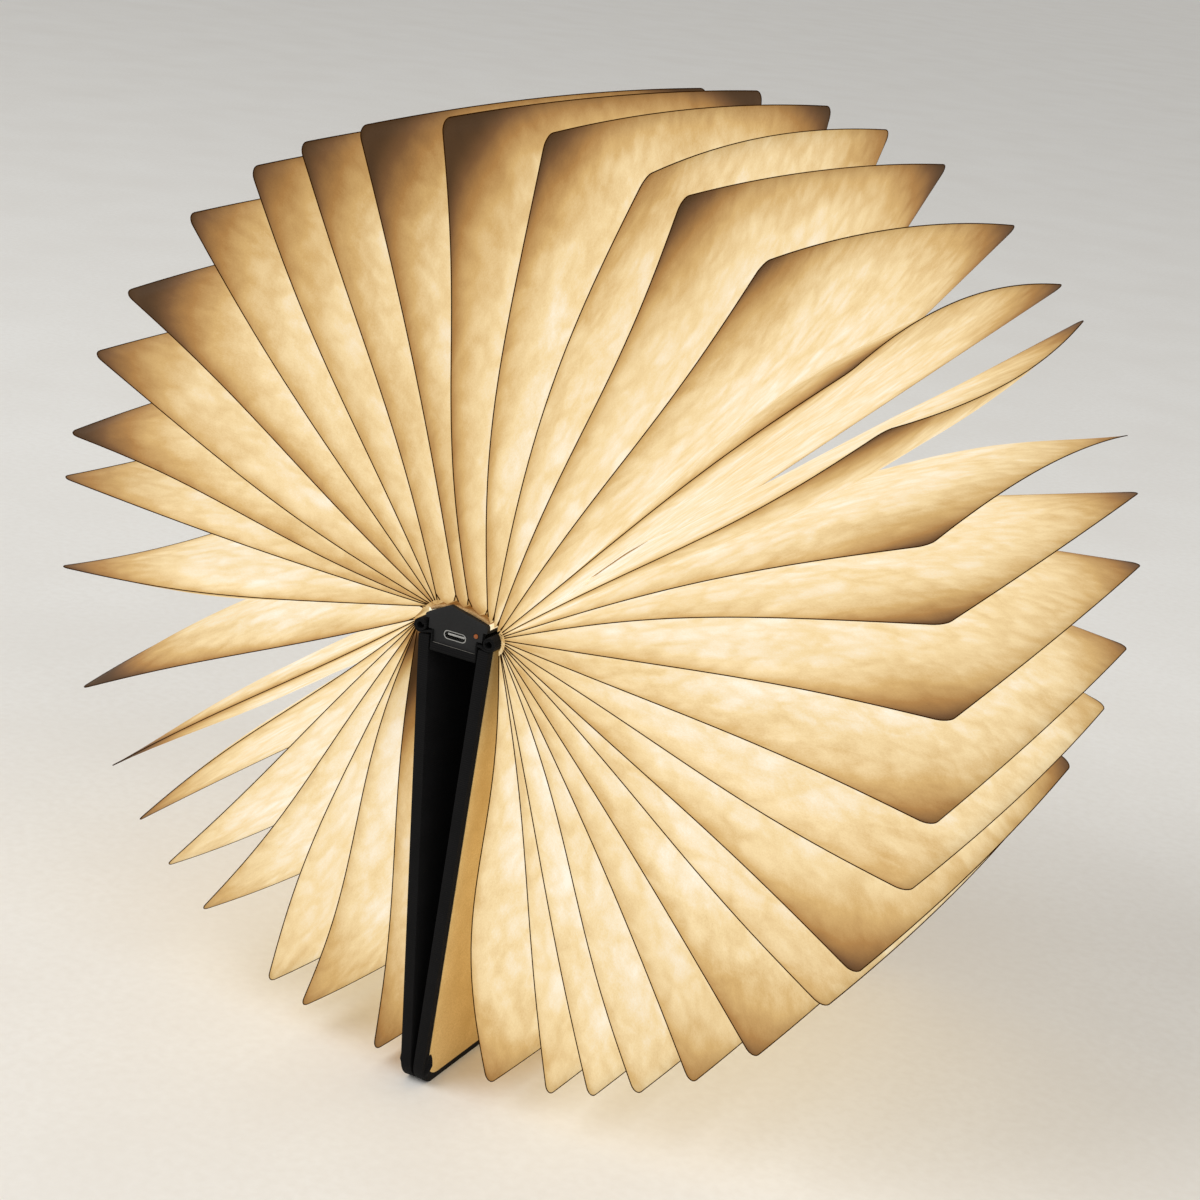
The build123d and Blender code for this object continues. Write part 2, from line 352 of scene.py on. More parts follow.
@dataclass(frozen=True)
class LitPaper(Finish):
    """Spunbonded fibrous paper with the lamp's light in it.

    The light comes out of the open side of each pocket, at the core. Some of it is lost along the welded edges,
    most of all in the outer corners, and in some pages more than in others.

    Attributes:
        own_light: how much of its colour the paper gives as light.
        body: what the paper's own colour keeps of each channel, so that only a little comes from outside.
        width: from inner fold to outer edge.
        length: along the spine.
        level: light in the middle of a page.
        high_loss: how much less there is at the top than at the table, which reflects it back.
        core_gain: how much more light there is beside the core.
        core_reach: how far out that goes.
        hem_loss: light that every page loses along its near and far edges.
        hem_reach: how far in that loss goes.
        edge_loss: light that a page in full shade loses at its near and far edges.
        edge_reach: how far in that loss goes, at the core.
        edge_spread: how much further it goes at the outer edge.
        edge_bend: how sharply that spread sets in on the way out.
        corner_loss: light that such a page loses in an outer corner.
        corner_reach: how far in that loss goes.
        rim_loss: light that such a page loses at the outer edge.
        rim_reach: how far in that loss goes.
        least: light that even the darkest corner gets.
        least_ease: how gently the light settles to that.
        slot_loss: light lost in the narrow slot beside the left cover.
        slot_place: middle of that slot, right of the spine and up from the table.
        slot_size: its half width and half depth.
        slot_fade: how far below and above its middle the loss fades out.
        layers: clouds, partly the paper's uneven felt and partly painted shadows of the other sheets, then
            mottling, two sets of crossing streaks, and fibre bundles, drawn coarse so that they show.
        streak_stretch: how much longer a streak is than wide.
        crinkle: size of the fields between the paper's creases.
        wander: how far the creases stray.
        crease: half width of a crease, as a share of a field, and what it and the field add to the light.
        tones: the paper's colour from no light to full light.
    """

    own_light: float = 0.77
    body: tuple[float, float, float, float] = (0.28, 0.30, 0.38, 1.0)
    width: float = 163 * MM
    length: float = 210 * MM
    level: float = 0.95
    high_loss: float = 0.08
    core_gain: float = 0.03
    core_reach: float = 30 * MM
    hem_loss: float = 0.10
    hem_reach: float = 4 * MM
    edge_loss: float = 0.42
    edge_reach: float = 8.5 * MM
    edge_spread: float = 23 * MM
    edge_bend: float = 6.0
    corner_loss: float = 0.37
    corner_reach: float = 36 * MM
    rim_loss: float = 0.5
    rim_reach: float = 13 * MM
    least: float = 0.06
    least_ease: float = 0.2
    slot_loss: float = 1.0
    slot_place: tuple[float, float] = (-15 * MM, 165.5 * MM)
    slot_size: tuple[float, float] = (6 * MM, 35 * MM)
    slot_fade: tuple[float, float] = (2 * MM, 12 * MM)
    layers: tuple[PaperLayer, ...] = (
        # Clouds: partly the paper's uneven felt, partly painted shadows of the other sheets
        PaperLayer(26 * MM, 0.42, swirl=0.7),
        PaperLayer(7 * MM, 0.16, swirl=0.3),
        PaperLayer(1.3 * MM, 0.06, detail=2.0, turn=0.5),
        PaperLayer(1.3 * MM, 0.06, detail=2.0, turn=-0.8),
        PaperLayer(0.6 * MM, 0.17, detail=2.0),
    )
    streak_stretch: float = 4.0
    crinkle: float = 13 * MM
    wander: float = 7 * MM
    crease: tuple[float, float, float] = (0.3, -0.05, 0.02)
    tones: tuple[str, ...] = ("#2E2012", "#775432", "#AE8149", "#D6B173", "#F4DBA8", "#FFF7E4")

    def slot_shade(self, tree: bpy.types.NodeTree, spot: Any) -> bpy.types.NodeSocket:
        """Work out how much light the slot beside the left cover loses.

        Args:
            tree: the material's tree.
            spot: Object coordinates, split.

        Returns:
            The light lost.
        """
        shares = []
        for axis, middle, size in zip((0, 2), self.slot_place, self.slot_size):
            off = add_node(
                tree, "ShaderNodeMath", {0: spot[axis], 1: middle}, operation="SUBTRACT"
            ).outputs[0]
            share = add_node(tree, "ShaderNodeMath", {0: off, 1: size}, operation="DIVIDE").outputs[0]
            shares.append(
                add_node(tree, "ShaderNodeMath", {0: share, 1: share}, operation="MULTIPLY").outputs[0]
            )
        both = add_node(tree, "ShaderNodeMath", {0: shares[0], 1: shares[1]}, operation="ADD").outputs[0]
        away = add_node(tree, "ShaderNodeMath", {0: both, 1: -1.0}, operation="MULTIPLY").outputs[0]
        within = add_node(tree, "ShaderNodeMath", {0: away}, operation="EXPONENT").outputs[0]
        bottom, top = self.slot_place[1] - self.slot_fade[0], self.slot_place[1] + self.slot_fade[1]
        below = add_node(
            tree, "ShaderNodeMapRange", {"Value": spot[2], 1: bottom, 2: top, 3: self.slot_loss, 4: 0.0},
            interpolation_type="SMOOTHSTEP",
        ).outputs[0]
        return add_node(tree, "ShaderNodeMath", {0: within, 1: below}, operation="MULTIPLY").outputs[0]

    def lamp_light(
        self, tree: bpy.types.NodeTree, sheet: bpy.types.NodeSocket, place: bpy.types.NodeSocket
    ) -> bpy.types.NodeSocket:
        """Work out how much of the lamp's light gets to each place of the paper.

        Args:
            tree: the material's tree.
            sheet: the sheet's own place: from the outer edge, along the spine, and the page's number.
            place: Object coordinates.

        Returns:
            The light, from 0 to about 1.
        """
        own = add_node(tree, "ShaderNodeSeparateXYZ", {0: sheet}).outputs
        off_middle = add_node(tree, "ShaderNodeMath", {0: own[1]}, operation="ABSOLUTE").outputs[0]
        from_end = add_node(
            tree, "ShaderNodeMath", {0: self.length / 2, 1: off_middle}, operation="SUBTRACT"
        ).outputs[0]
        from_rim = add_node(tree, "ShaderNodeMath", {0: own[0]}, operation="ABSOLUTE").outputs[0]
        out = add_node(tree, "ShaderNodeMath", {0: self.width, 1: from_rim}, operation="SUBTRACT").outputs[0]
        way = add_node(
            tree, "ShaderNodeMath", {0: out, 1: self.width}, operation="DIVIDE", use_clamp=True
        ).outputs[0]
        outermost = add_node(
            tree, "ShaderNodeMath", {0: way, 1: self.edge_bend}, operation="POWER"
        ).outputs[0]

        # Each loss fades away from where it is greatest
        spread = add_node(
            tree, "ShaderNodeMath", {0: outermost, 1: -self.edge_spread, 2: -self.edge_reach},
            operation="MULTIPLY_ADD",
        ).outputs[0]
        edge_share = add_node(tree, "ShaderNodeMath", {0: from_end, 1: spread}, operation="DIVIDE").outputs[0]
        rim_share = add_node(
            tree, "ShaderNodeMath", {0: from_rim, 1: -self.rim_reach}, operation="DIVIDE"
        ).outputs[0]
        end_squared = add_node(
            tree, "ShaderNodeMath", {0: from_end, 1: from_end}, operation="MULTIPLY"
        ).outputs[0]
        corner_squared = add_node(
            tree, "ShaderNodeMath", {0: from_rim, 1: from_rim, 2: end_squared}, operation="MULTIPLY_ADD"
        ).outputs[0]
        corner_share = add_node(
            tree, "ShaderNodeMath", {0: corner_squared, 1: -(self.corner_reach**2)}, operation="DIVIDE"
        ).outputs[0]
        lost: Any = 0.0
        losses = ((edge_share, self.edge_loss), (rim_share, self.rim_loss), (corner_share, self.corner_loss))
        for share, loss in losses:
            near_it = add_node(tree, "ShaderNodeMath", {0: share}, operation="EXPONENT").outputs[0]
            lost = add_node(
                tree, "ShaderNodeMath", {0: near_it, 1: loss, 2: lost}, operation="MULTIPLY_ADD"
            ).outputs[0]

        # Each page has its own share of those. What follows is the same for all
        spot = add_node(tree, "ShaderNodeSeparateXYZ", {0: place}).outputs
        shade = add_node(tree, "ShaderNodeAttribute", attribute_name="page_shade").outputs["Fac"]
        dimmed = add_node(
            tree, "ShaderNodeMath", {0: shade, 1: lost, 2: self.slot_shade(tree, spot)},
            operation="MULTIPLY_ADD",
        ).outputs[0]
        core_share = add_node(
            tree, "ShaderNodeMath", {0: out, 1: -self.core_reach}, operation="DIVIDE"
        ).outputs[0]
        hem_share = add_node(
            tree, "ShaderNodeMath", {0: from_end, 1: -self.hem_reach}, operation="DIVIDE"
        ).outputs[0]
        for share, loss in ((core_share, -self.core_gain), (hem_share, self.hem_loss)):
            near_it = add_node(tree, "ShaderNodeMath", {0: share}, operation="EXPONENT").outputs[0]
            dimmed = add_node(
                tree, "ShaderNodeMath", {0: near_it, 1: loss, 2: dimmed}, operation="MULTIPLY_ADD"
            ).outputs[0]
        light = add_node(tree, "ShaderNodeMath", {0: self.level, 1: dimmed}, operation="SUBTRACT").outputs[0]
        by_height = add_node(
            tree, "ShaderNodeMath", {0: spot[2], 1: -self.high_loss / (2 * self.width), 2: light},
            operation="MULTIPLY_ADD",
        ).outputs[0]
        return add_node(
            tree, "ShaderNodeMath", {0: by_height, 1: self.least, 2: self.least_ease}, operation="SMOOTH_MAX"
        ).outputs[0]

    def dress(self, tree: bpy.types.NodeTree, place: bpy.types.NodeSocket, surface: bpy.types.Node) -> None:
        """Colour the paper by how much light gets there, under creases, clouds and crossing streaks of fibre.

        Args:
            tree: the material's tree.
            place: Object coordinates.
            surface: the shader to feed.
        """
        sheet = add_node(tree, "ShaderNodeAttribute", attribute_name="sheet_place").outputs["Vector"]
        light = self.lamp_light(tree, sheet, place)

        # Creases run along the bounds of wandering fields
        stray = add_node(
            tree, "ShaderNodeTexNoise", {"Vector": sheet, "Scale": 1 / self.wander, "Detail": 3.0}
        ).outputs["Color"]
        shifted = add_node(
            tree, "ShaderNodeVectorMath", {0: stray, 1: (self.wander,) * 3, 2: sheet},
            operation="MULTIPLY_ADD",
        ).outputs[0]
        to_crease = add_node(
            tree, "ShaderNodeTexVoronoi", {"Vector": shifted, "Scale": 1 / self.crinkle},
            feature="DISTANCE_TO_EDGE",
        ).outputs[0]
        half_width, in_crease, in_field = self.crease
        texture = add_node(
            tree, "ShaderNodeMapRange",
            {"Value": to_crease, 1: 0.0, 2: half_width, 3: in_crease, 4: in_field},
            interpolation_type="SMOOTHSTEP",
        ).outputs[0]

        # Each layer goes over the last, and the streaks are felt too
        streaks = None
        for layer in self.layers:
            vector = sheet
            if layer.turn is not None:
                vector = add_node(
                    tree, "ShaderNodeMapping",
                    {0: sheet, 2: (0.0, 0.0, layer.turn), 3: (self.streak_stretch, 1.0, 1.0)},
                    vector_type="TEXTURE",
                ).outputs[0]
            uneven = add_node(
                tree, "ShaderNodeTexNoise",
                {"Vector": vector, "Scale": 1 / layer.size, "Detail": layer.detail, "Distortion": layer.swirl},
            ).outputs[0]
            streaks = uneven if layer.turn is not None else streaks
            centred = add_node(tree, "ShaderNodeMath", {0: uneven, 1: 0.5}, operation="SUBTRACT").outputs[0]
            texture = add_node(
                tree, "ShaderNodeMath", {0: centred, 1: layer.height, 2: texture}, operation="MULTIPLY_ADD"
            ).outputs[0]

        # The dimmer a place is, the less its texture shows
        level = add_node(
            tree, "ShaderNodeMath", {0: texture, 1: light, 2: light}, operation="MULTIPLY_ADD"
        ).outputs[0]
        ramp = add_node(tree, "ShaderNodeValToRGB", {0: level})
        elements = ramp.color_ramp.elements
        last = len(self.tones) - 1
        for number in range(1, last):
            elements.new(number / last)
        for element, colour in zip(elements, self.tones, strict=True):
            element.color = linear(colour)
        body = add_node(
            tree, "ShaderNodeMix", {0: 1.0, 6: ramp.outputs[0], 7: self.body}, data_type="RGBA",
            blend_type="MULTIPLY",
        ).outputs[2]
        tree.links.new(body, surface.inputs["Base Color"])
        tree.links.new(ramp.outputs[0], surface.inputs["Emission Color"])
        surface.inputs["Emission Strength"].default_value = self.own_light
        bump = add_node(tree, "ShaderNodeBump", {"Height": streaks, "Distance": self.relief, "Strength": 0.6})
        tree.links.new(bump.outputs[0], surface.inputs["Normal"])


class Finishes(Enum):
    """The lamp's finishes."""

    # Spunbonded polyethylene paper: translucent, felted fibres, no weave
    PAGE_PAPER = LitPaper(
        "lit_fibrous_paper", "#FFF7E4", "#2E2012", roughness=0.8, relief=0.05 * MM, gloss=0.15
    )
    # The welded edge of two sheets: too thick to let the light through
    PAGE_SEAM = Finish("welded_paper_edge", "#3A1E02", "#2A1602", roughness=0.9, grain=0.8 * MM, gloss=0.0)
    # Page paper where the inner folds are bonded to the core: dull, and tan with painted shade of the crowded
    # folds
    GLUED_FOLDS = Finish(
        "glued_fold_paper", "#C09A66", "#97723F", roughness=0.7, grain=0.9 * MM, relief=0.05 * MM
    )
    # Cotton book cloth, dyed black and starch filled: matt, with a faint thread
    COVER_CLOTH = BookCloth(
        "black_book_cloth", "#121112", "#070707", roughness=0.95, grain=0.8 * MM, sheen=0.01, gloss=0.15
    )
    # Grey board, pressed from waste paper
    COVER_BOARD = Finish("grey_board", "#8C8780", "#6D6860", roughness=0.9, grain=0.7 * MM)
    # Uncoated cream lining paper, with painted shade towards the joint
    LINING_PAPER = LiningPaper("cream_lining_paper", "#E3C384", "#CDAA69", roughness=0.85, grain=0.6 * MM)
    # Neodymium magnet under nickel plate
    MAGNET_NICKEL = Finish(
        "nickel_plate", "#B5B3AC", "#9A988F", roughness=0.25, metallic=1.0, grain=0.5 * MM, relief=0.005 * MM
    )
    # Injection moulded ABS with a fine spark-eroded texture
    BLACK_PLASTIC = Finish(
        "moulded_black_abs", "#121213", "#0A0A0B", roughness=0.6, grain=0.5 * MM, relief=0.02 * MM, gloss=0.3
    )
    # Extruded opal acrylic, lit from behind
    DIFFUSER_PLASTIC = LitFinish(
        "opal_acrylic", "#FFF3D8", "#FBE7BE", roughness=0.35, grain=2 * MM, relief=0.004 * MM, glow=0.45
    )
    # Aluminium board under white solder mask
    LED_BOARD = Finish(
        "white_solder_mask", "#E9EBE8", "#D4D7D3", roughness=0.4, grain=1.2 * MM, relief=0.01 * MM
    )
    # White moulded housing of a diode
    DIODE_HOUSING = Finish(
        "white_diode_housing", "#EDEBE3", "#DAD7CC", roughness=0.5, grain=0.4 * MM, relief=0.01 * MM
    )
    # Phosphor in clear silicone
    LED_PHOSPHOR = LitFinish(
        "phosphor_silicone", "#FFD36B", "#F2B544", roughness=0.2, grain=0.4 * MM, relief=0.01 * MM, glow=2.0
    )
    # Glass-fibre board under green solder mask
    CIRCUIT_BOARD = Finish(
        "green_solder_mask", "#17623A", "#0F4528", roughness=0.35, grain=0.8 * MM, relief=0.02 * MM
    )
    # Deep-drawn stainless steel
    PORT_STEEL = Finish(
        "drawn_steel", "#B7B7B5", "#9B9B99", roughness=0.3, metallic=1.0, grain=0.3 * MM, relief=0.004 * MM
    )
    # Clear amber acrylic light guide, unlit: its faint glow is a painted glint
    INDICATOR_AMBER = LitFinish(
        "amber_acrylic", "#8F4A12", "#6A340A", roughness=0.2, grain=0.4 * MM, relief=0.004 * MM, glow=0.12
    )
    # Aluminium laminate pouch
    CELL_POUCH = Finish(
        "aluminium_laminate", "#C3C6CA", "#A4A7AB", roughness=0.32, metallic=1.0, grain=2.5 * MM,
        relief=0.08 * MM
    )
    # Glass-filled nylon
    SWITCH_PLASTIC = Finish("black_nylon", "#2A2A2C", "#1B1B1C", roughness=0.5, grain=0.2 * MM)


class Dresser:
    """Makes each finish once, and puts it on the CAD nodes that stay."""

    def __init__(self) -> None:
        """Start with no material made."""
        self.made: dict[Finishes, bpy.types.Material] = {}

    def material(self, finish: Finishes) -> bpy.types.Material:
        """Give the material of a finish, made when first asked for."""
        if finish not in self.made:
            self.made[finish] = finish.value.make()
        return self.made[finish]

    def dress(self, piece: bpy.types.Object, finish: Finishes, slot: str = "") -> None:
        """Put one finish all over a piece.

        Args:
            piece: a mesh object.
            finish: what it is made of.
            slot: the record's slot, where it isn't named as the finish is; not used.
        """
        piece.data.materials.clear()
        piece.data.materials.append(self.material(finish))


def grow(name: str, tree: bpy.types.GeometryNodeTree, values: dict[str, Any]) -> bpy.types.Object:
    """Run a geometry tree once and keep what it makes as a plain mesh.

    Args:
        name: the new piece's name.
        tree: the geometry tree.
        values: its inputs, by name.

    Returns:
        A mesh object at the origin, with no modifier.
    """
    piece = bpy.data.objects.new(name, bpy.data.meshes.new(f"{name}_seed"))
    bpy.context.scene.collection.objects.link(piece)
    modifier = piece.modifiers.new("grow", "NODES")
    modifier.node_group = tree
    sockets = {item.name: item.identifier for item in tree.interface.items_tree if item.item_type == "SOCKET"}
    for key, value in values.items():
        modifier[sockets[key]] = value
    depsgraph = bpy.context.evaluated_depsgraph_get()
    mesh = bpy.data.meshes.new_from_object(piece.evaluated_get(depsgraph), depsgraph=depsgraph)
    piece.modifiers.clear()
    piece.data = mesh
    mesh.name = name
    return piece


# ------------------------------------------------------------------------------------------------- pages


@dataclass(frozen=True)
class PageForm:
    """How one page hangs in the fan, beside its flat CAD plate.

    Attributes:
        near: how far its near end turns clockwise from the plate, in degrees.
        far: the same for its far end.
        bow: how far the middle of its outer edge bends clockwise, in millimetres.
        near_bow: how far the middle of its near edge bends clockwise, in millimetres.
        near_wave: the height of an S along its near edge, in millimetres.
        near_reach: how much further out its near corner reaches, in millimetres.
        shade: its share of the light lost at the edges.
    """

    near: float = 0.0
    far: float = 0.0
    bow: float = 0.0
    near_bow: float = 0.0
    near_wave: float = 0.0
    near_reach: float = 0.0
    shade: float = 0.6


PAGE_FORMS = (
    PageForm(0, 0, -2, 0, 1.5, 3.5, shade=0.5), PageForm(0.5, -0.5, -5, 0, 2.5, 2.5, shade=0.4),
    PageForm(-1, 1, -6, 4.5, -1, 2.5, shade=0.2), PageForm(0, -0.5, -7, -2.5, 1, shade=0.3),
    PageForm(-0.5, 0.5, -7, -0.5, 0.5, shade=0.2), PageForm(0.5, -0.5, 2, 1.5, -1, shade=0.5),
    PageForm(-0.5, 0.5, 0, 0.5, -0.5, shade=0.9), PageForm(-0.5, 0.5, 6, 0.5, -0.5, shade=1),
    PageForm(0, 0, -8, -4, 0.5), PageForm(0, 0.5, -5, -1.5, 0, shade=0.5),
    PageForm(0, -0.5, 4, 0.5, -1.5, shade=0.8),
    PageForm(-0.5, 0, 0, -4.5, -0.5), PageForm(-1, 0.5, 3, 1, -1, shade=0.9), PageForm(-1, -0.5, 0, -3, 0.5),
    PageForm(-1, 0.5, 0, -3, 1), PageForm(-0.5, 0.5, 0, 2.5, 1, shade=0.7),
    PageForm(-4.5, 4.5, 0, 2.5, 0, shade=0.9),
    PageForm(-2.5, 3.5, 0, -2, -2, shade=1), PageForm(-1.5, 1.5, -4, -7, -1, shade=0.7),
    PageForm(1, 0, -6, -7.5, 0, shade=0.4), PageForm(-1.5, 2, -2, 0.5, -1.5, shade=0.7),
    PageForm(-2.5, 2, -4, 0.5, -1), PageForm(0, -0.5, -8, -2.5, 0.5), PageForm(1, -1.5, 6, 2.5, -1),
    PageForm(-0.5, 0.5, -5.5, -4, 0), PageForm(0, 0, -1, -5, -0.5), PageForm(-0.5, -1.5, -1.5, -2, 0.5),
    PageForm(-0.5, -2, -2, -2, 0.5, shade=0.5), PageForm(0, -1, 0, 2.5, -1, shade=0.3),
    PageForm(1.5, -2, 0, -1.5, 0.5), PageForm(-0.5, 0.5, 0, 1, -1, shade=0.3),
    PageForm(-0.5, -0.5, 0, -1.5, 0, shade=0.5), PageForm(0, 0.5, 0, -2.5, 0, shade=0.4),
    PageForm(0, 0, 0, -1, -2, shade=0.2), PageForm(-0.5, 0, 0, 1, -0.5, shade=0.2),
    PageForm(-0.5, 0.5, 0, -1, -1, shade=0.2), PageForm(0, -0.5, 0, 6, -3.5, shade=0.4),
)


@dataclass(frozen=True)
class Gather:
    """A run of pages whose inner folds are drawn together at the near end of the core.

    Attributes:
        first: number of its first page.
        turn: where that page's near fold lies on the core, clockwise from the top, in degrees.
        step: how much further round each next one lies, in degrees.
    """

    first: int
    turn: float
    step: float


GATHERS = (Gather(1, -104, 2.5), Gather(9, -48, 2.2), Gather(17, -5, 17), Gather(19, 40, 9), Gather(22, 66, 2.6))


def near_fold_turn(number: int) -> float:
    """Find where a page's inner fold lies at the near end.

    Args:
        number: the page's number.

    Returns:
        Its turn round the core, clockwise from the top, in radians.
    """
    gather = [g for g in GATHERS if g.first <= number][-1]
    return radians(gather.turn + gather.step * (number - gather.first))


@dataclass
class Plate:
    """A page's flat CAD plate, read from the frame.

    Attributes:
        name: the node's name, which is its body's too.
        fold: middle of its fold line.
        direction: where it points, clockwise from straight up, in radians.
    """

    name: str
    fold: Vector
    direction: float

    @classmethod
    def read(cls, node: bpy.types.Object, spine_height: float) -> Plate:
        """Read a plate from its node.

        Args:
            node: the page's CAD node.
            spine_height: height of the fold lines of the covers.

        Returns:
            The plate.
        """
        points = [Vector((v.co.x, 0, v.co.z - spine_height)) for v in node.data.vertices]
        nearest, furthest = min(p.length for p in points), max(p.length for p in points)
        inner = [p for p in points if p.length < nearest + MM]
        outer = [p for p in points if p.length > furthest - MM]
        fold = sum(inner, Vector()) / len(inner)
        reach = sum(outer, Vector()) / len(outer) - fold
        return cls(node.name, fold + Vector((0, 0, spine_height)), atan2(reach.x, reach.z))

    @property
    def normal(self) -> Vector:
        """Point away from the plate, on its clockwise side."""
        return Vector((cos(self.direction), 0, -sin(self.direction)))


@dataclass
class Pages:
    """The fan of pages. Each is a pocket of two sheets, welded along three edges and open at the spine.

    Attributes:
        width: from inner fold to outer edge.
        length: along the spine.
        corner: radius of the outer corners.
        crown: how much further the middle of the outer edge reaches than its ends.
        sheet: thickness of one sheet.
        weld: radius of the welded edge.
        fullness: how much of the room to its neighbours a pocket fills.
        mouth: how far from the fold the pocket stays open at its ends.
        crumple: height of the paper's own unevenness.
        dent: size of its dents.
        blunt: how flat a pocket's swell is along the spine, and on the way out.
        crowding: how much closer the cells lie at the outer edge.
        near_share: share of the length over which the near end's own bends fade out.
        shut: share of its fullness that a pocket keeps in the shut book; not used.
        core: half the width and the height of the oval that the inner folds follow.
        cells: cells of each sheet along its width and across half its length.
        corner_cells: how many of those go round a corner.
    """

    width: float = 163 * MM
    length: float = 210 * MM
    corner: float = 4.5 * MM
    crown: float = 2.5 * MM
    sheet: float = 0.15 * MM
    weld: float = 0.19 * MM
    fullness: float = 0.8
    mouth: float = 2.5 * MM
    crumple: float = 1.2 * MM
    dent: float = 45 * MM
    blunt: tuple[float, float] = (4.0, 3.0)
    crowding: float = 1.3
    near_share: float = 0.6
    shut: float = 0.03
    core: tuple[float, float] = (17.0 * MM, 9.3 * MM)
    cells: tuple[int, int] = (34, 26)
    corner_cells: int = 6
    dresser: Dresser = field(default_factory=Dresser)

    def core_point(
        self, tree: bpy.types.NodeTree, turn: bpy.types.NodeSocket, height: bpy.types.NodeSocket
    ) -> bpy.types.NodeSocket:
        """Find a place on the oval round the core.

        Args:
            tree: the geometry tree.
            turn: how far round it lies, clockwise from the top.
            height: height of the oval's middle.

        Returns:
            The place.
        """
        sine = add_node(tree, "ShaderNodeMath", {0: turn}, operation="SINE").outputs[0]
        cosine = add_node(tree, "ShaderNodeMath", {0: turn}, operation="COSINE").outputs[0]
        right = add_node(tree, "ShaderNodeMath", {0: sine, 1: self.core[0]}, operation="MULTIPLY").outputs[0]
        up = add_node(
            tree, "ShaderNodeMath", {0: cosine, 1: self.core[1], 2: height}, operation="MULTIPLY_ADD"
        ).outputs[0]
        return add_node(tree, "ShaderNodeCombineXYZ", {0: right, 2: up}).outputs[0]

    def tree(self) -> bpy.types.GeometryNodeTree:
        """Build the geometry tree of a pocket.

        Returns:
            The tree. Its named inputs place one page and say how far off its neighbours are.
        """
        tree = bpy.data.node_groups.new("page_pocket", "GeometryNodeTree")
        tree.interface.new_socket("Geometry", in_out="OUTPUT", socket_type="NodeSocketGeometry")
        for name in (
            "Near Direction", "Far Direction", "Edge Bow", "Near Bow", "Near Wave", "Near Reach", "Page",
            "Shade",
            "Left Near Gap", "Left Far Gap", "Right Near Gap", "Right Far Gap", "Spine Height", "Fold Turn",
            "Near Fold Turn", "Left Fold Turn", "Left Near Fold Turn", "Right Fold Turn",
            "Right Near Fold Turn",
        ):
            tree.interface.new_socket(name, in_out="INPUT", socket_type="NodeSocketFloat")
        given = add_node(tree, "NodeGroupInput").outputs

        along_cells, across_cells = self.cells
        grid = add_node(
            tree, "GeometryNodeMeshGrid",
            {"Size X": 1.0, "Size Y": 1.0, "Vertices X": 2 * along_cells + 1, "Vertices Y": 2 * across_cells + 1},
        )
        spot = add_node(
            tree, "ShaderNodeSeparateXYZ", {0: add_node(tree, "GeometryNodeInputPosition").outputs[0]}
        )
        x, y = spot.outputs[0], spot.outputs[1]

        # The left sheet has x below 0 and the right one above, with the outer edge between them
        side = add_node(tree, "ShaderNodeMath", {0: x}, operation="SIGN").outputs[0]
        right = add_node(tree, "ShaderNodeMath", {0: x, 1: 0.0}, operation="GREATER_THAN").outputs[0]
        off_edge = add_node(tree, "ShaderNodeMath", {0: x}, operation="ABSOLUTE").outputs[0]
        share = add_node(
            tree, "ShaderNodeMath", {0: off_edge, 1: -2.0, 2: 1.0}, operation="MULTIPLY_ADD"
        ).outputs[0]
        eased = add_node(tree, "ShaderNodeMath", {0: share, 1: self.crowding}, operation="POWER").outputs[0]

        # From an end: round the corner first, then along the straight outer edge
        end = add_node(tree, "ShaderNodeMath", {0: y}, operation="SIGN").outputs[0]
        off_middle = add_node(tree, "ShaderNodeMath", {0: y}, operation="ABSOLUTE").outputs[0]
        inwards = add_node(
            tree, "ShaderNodeMath", {0: off_middle, 1: -2.0, 2: 1.0}, operation="MULTIPLY_ADD"
        ).outputs[0]
        corner_share = self.corner_cells / across_cells
        turn = add_node(
            tree, "ShaderNodeMapRange", {"Value": inwards, 1: 0.0, 2: corner_share, 3: 0.0, 4: pi / 2}
        ).outputs[0]
        turn_sine = add_node(tree, "ShaderNodeMath", {0: turn}, operation="SINE").outputs[0]
        turn_cosine = add_node(tree, "ShaderNodeMath", {0: turn}, operation="COSINE").outputs[0]
        straight = add_node(
            tree, "ShaderNodeMapRange",
            {"Value": inwards, 1: corner_share, 2: 1.0, 3: self.corner, 4: self.length / 2},
        ).outputs[0]
        from_end = add_node(
            tree, "ShaderNodeMath", {0: turn_cosine, 1: -self.corner, 2: straight}, operation="MULTIPLY_ADD"
        ).outputs[0]
        from_middle = add_node(
            tree, "ShaderNodeMath", {0: self.length / 2, 1: from_end}, operation="SUBTRACT"
        ).outputs[0]
        sheet_y = add_node(tree, "ShaderNodeMath", {0: from_middle, 1: end}, operation="MULTIPLY").outputs[0]
        row_width = add_node(
            tree, "ShaderNodeMath", {0: turn_sine, 1: self.corner, 2: self.width - self.corner},
            operation="MULTIPLY_ADD",
        ).outputs[0]
        endness = add_node(
            tree, "ShaderNodeMath", {0: from_middle, 1: self.length / 2}, operation="DIVIDE"
        ).outputs[0]
        outwards = add_node(tree, "ShaderNodeMath", {0: endness, 1: endness}, operation="MULTIPLY").outputs[0]
        midness = add_node(tree, "ShaderNodeMath", {0: 1.0, 1: outwards}, operation="SUBTRACT").outputs[0]
        crowned = add_node(
            tree, "ShaderNodeMath", {0: midness, 1: self.crown, 2: row_width}, operation="MULTIPLY_ADD"
        ).outputs[0]
        sheet_s = add_node(tree, "ShaderNodeMath", {0: eased, 1: crowned}, operation="MULTIPLY").outputs[0]

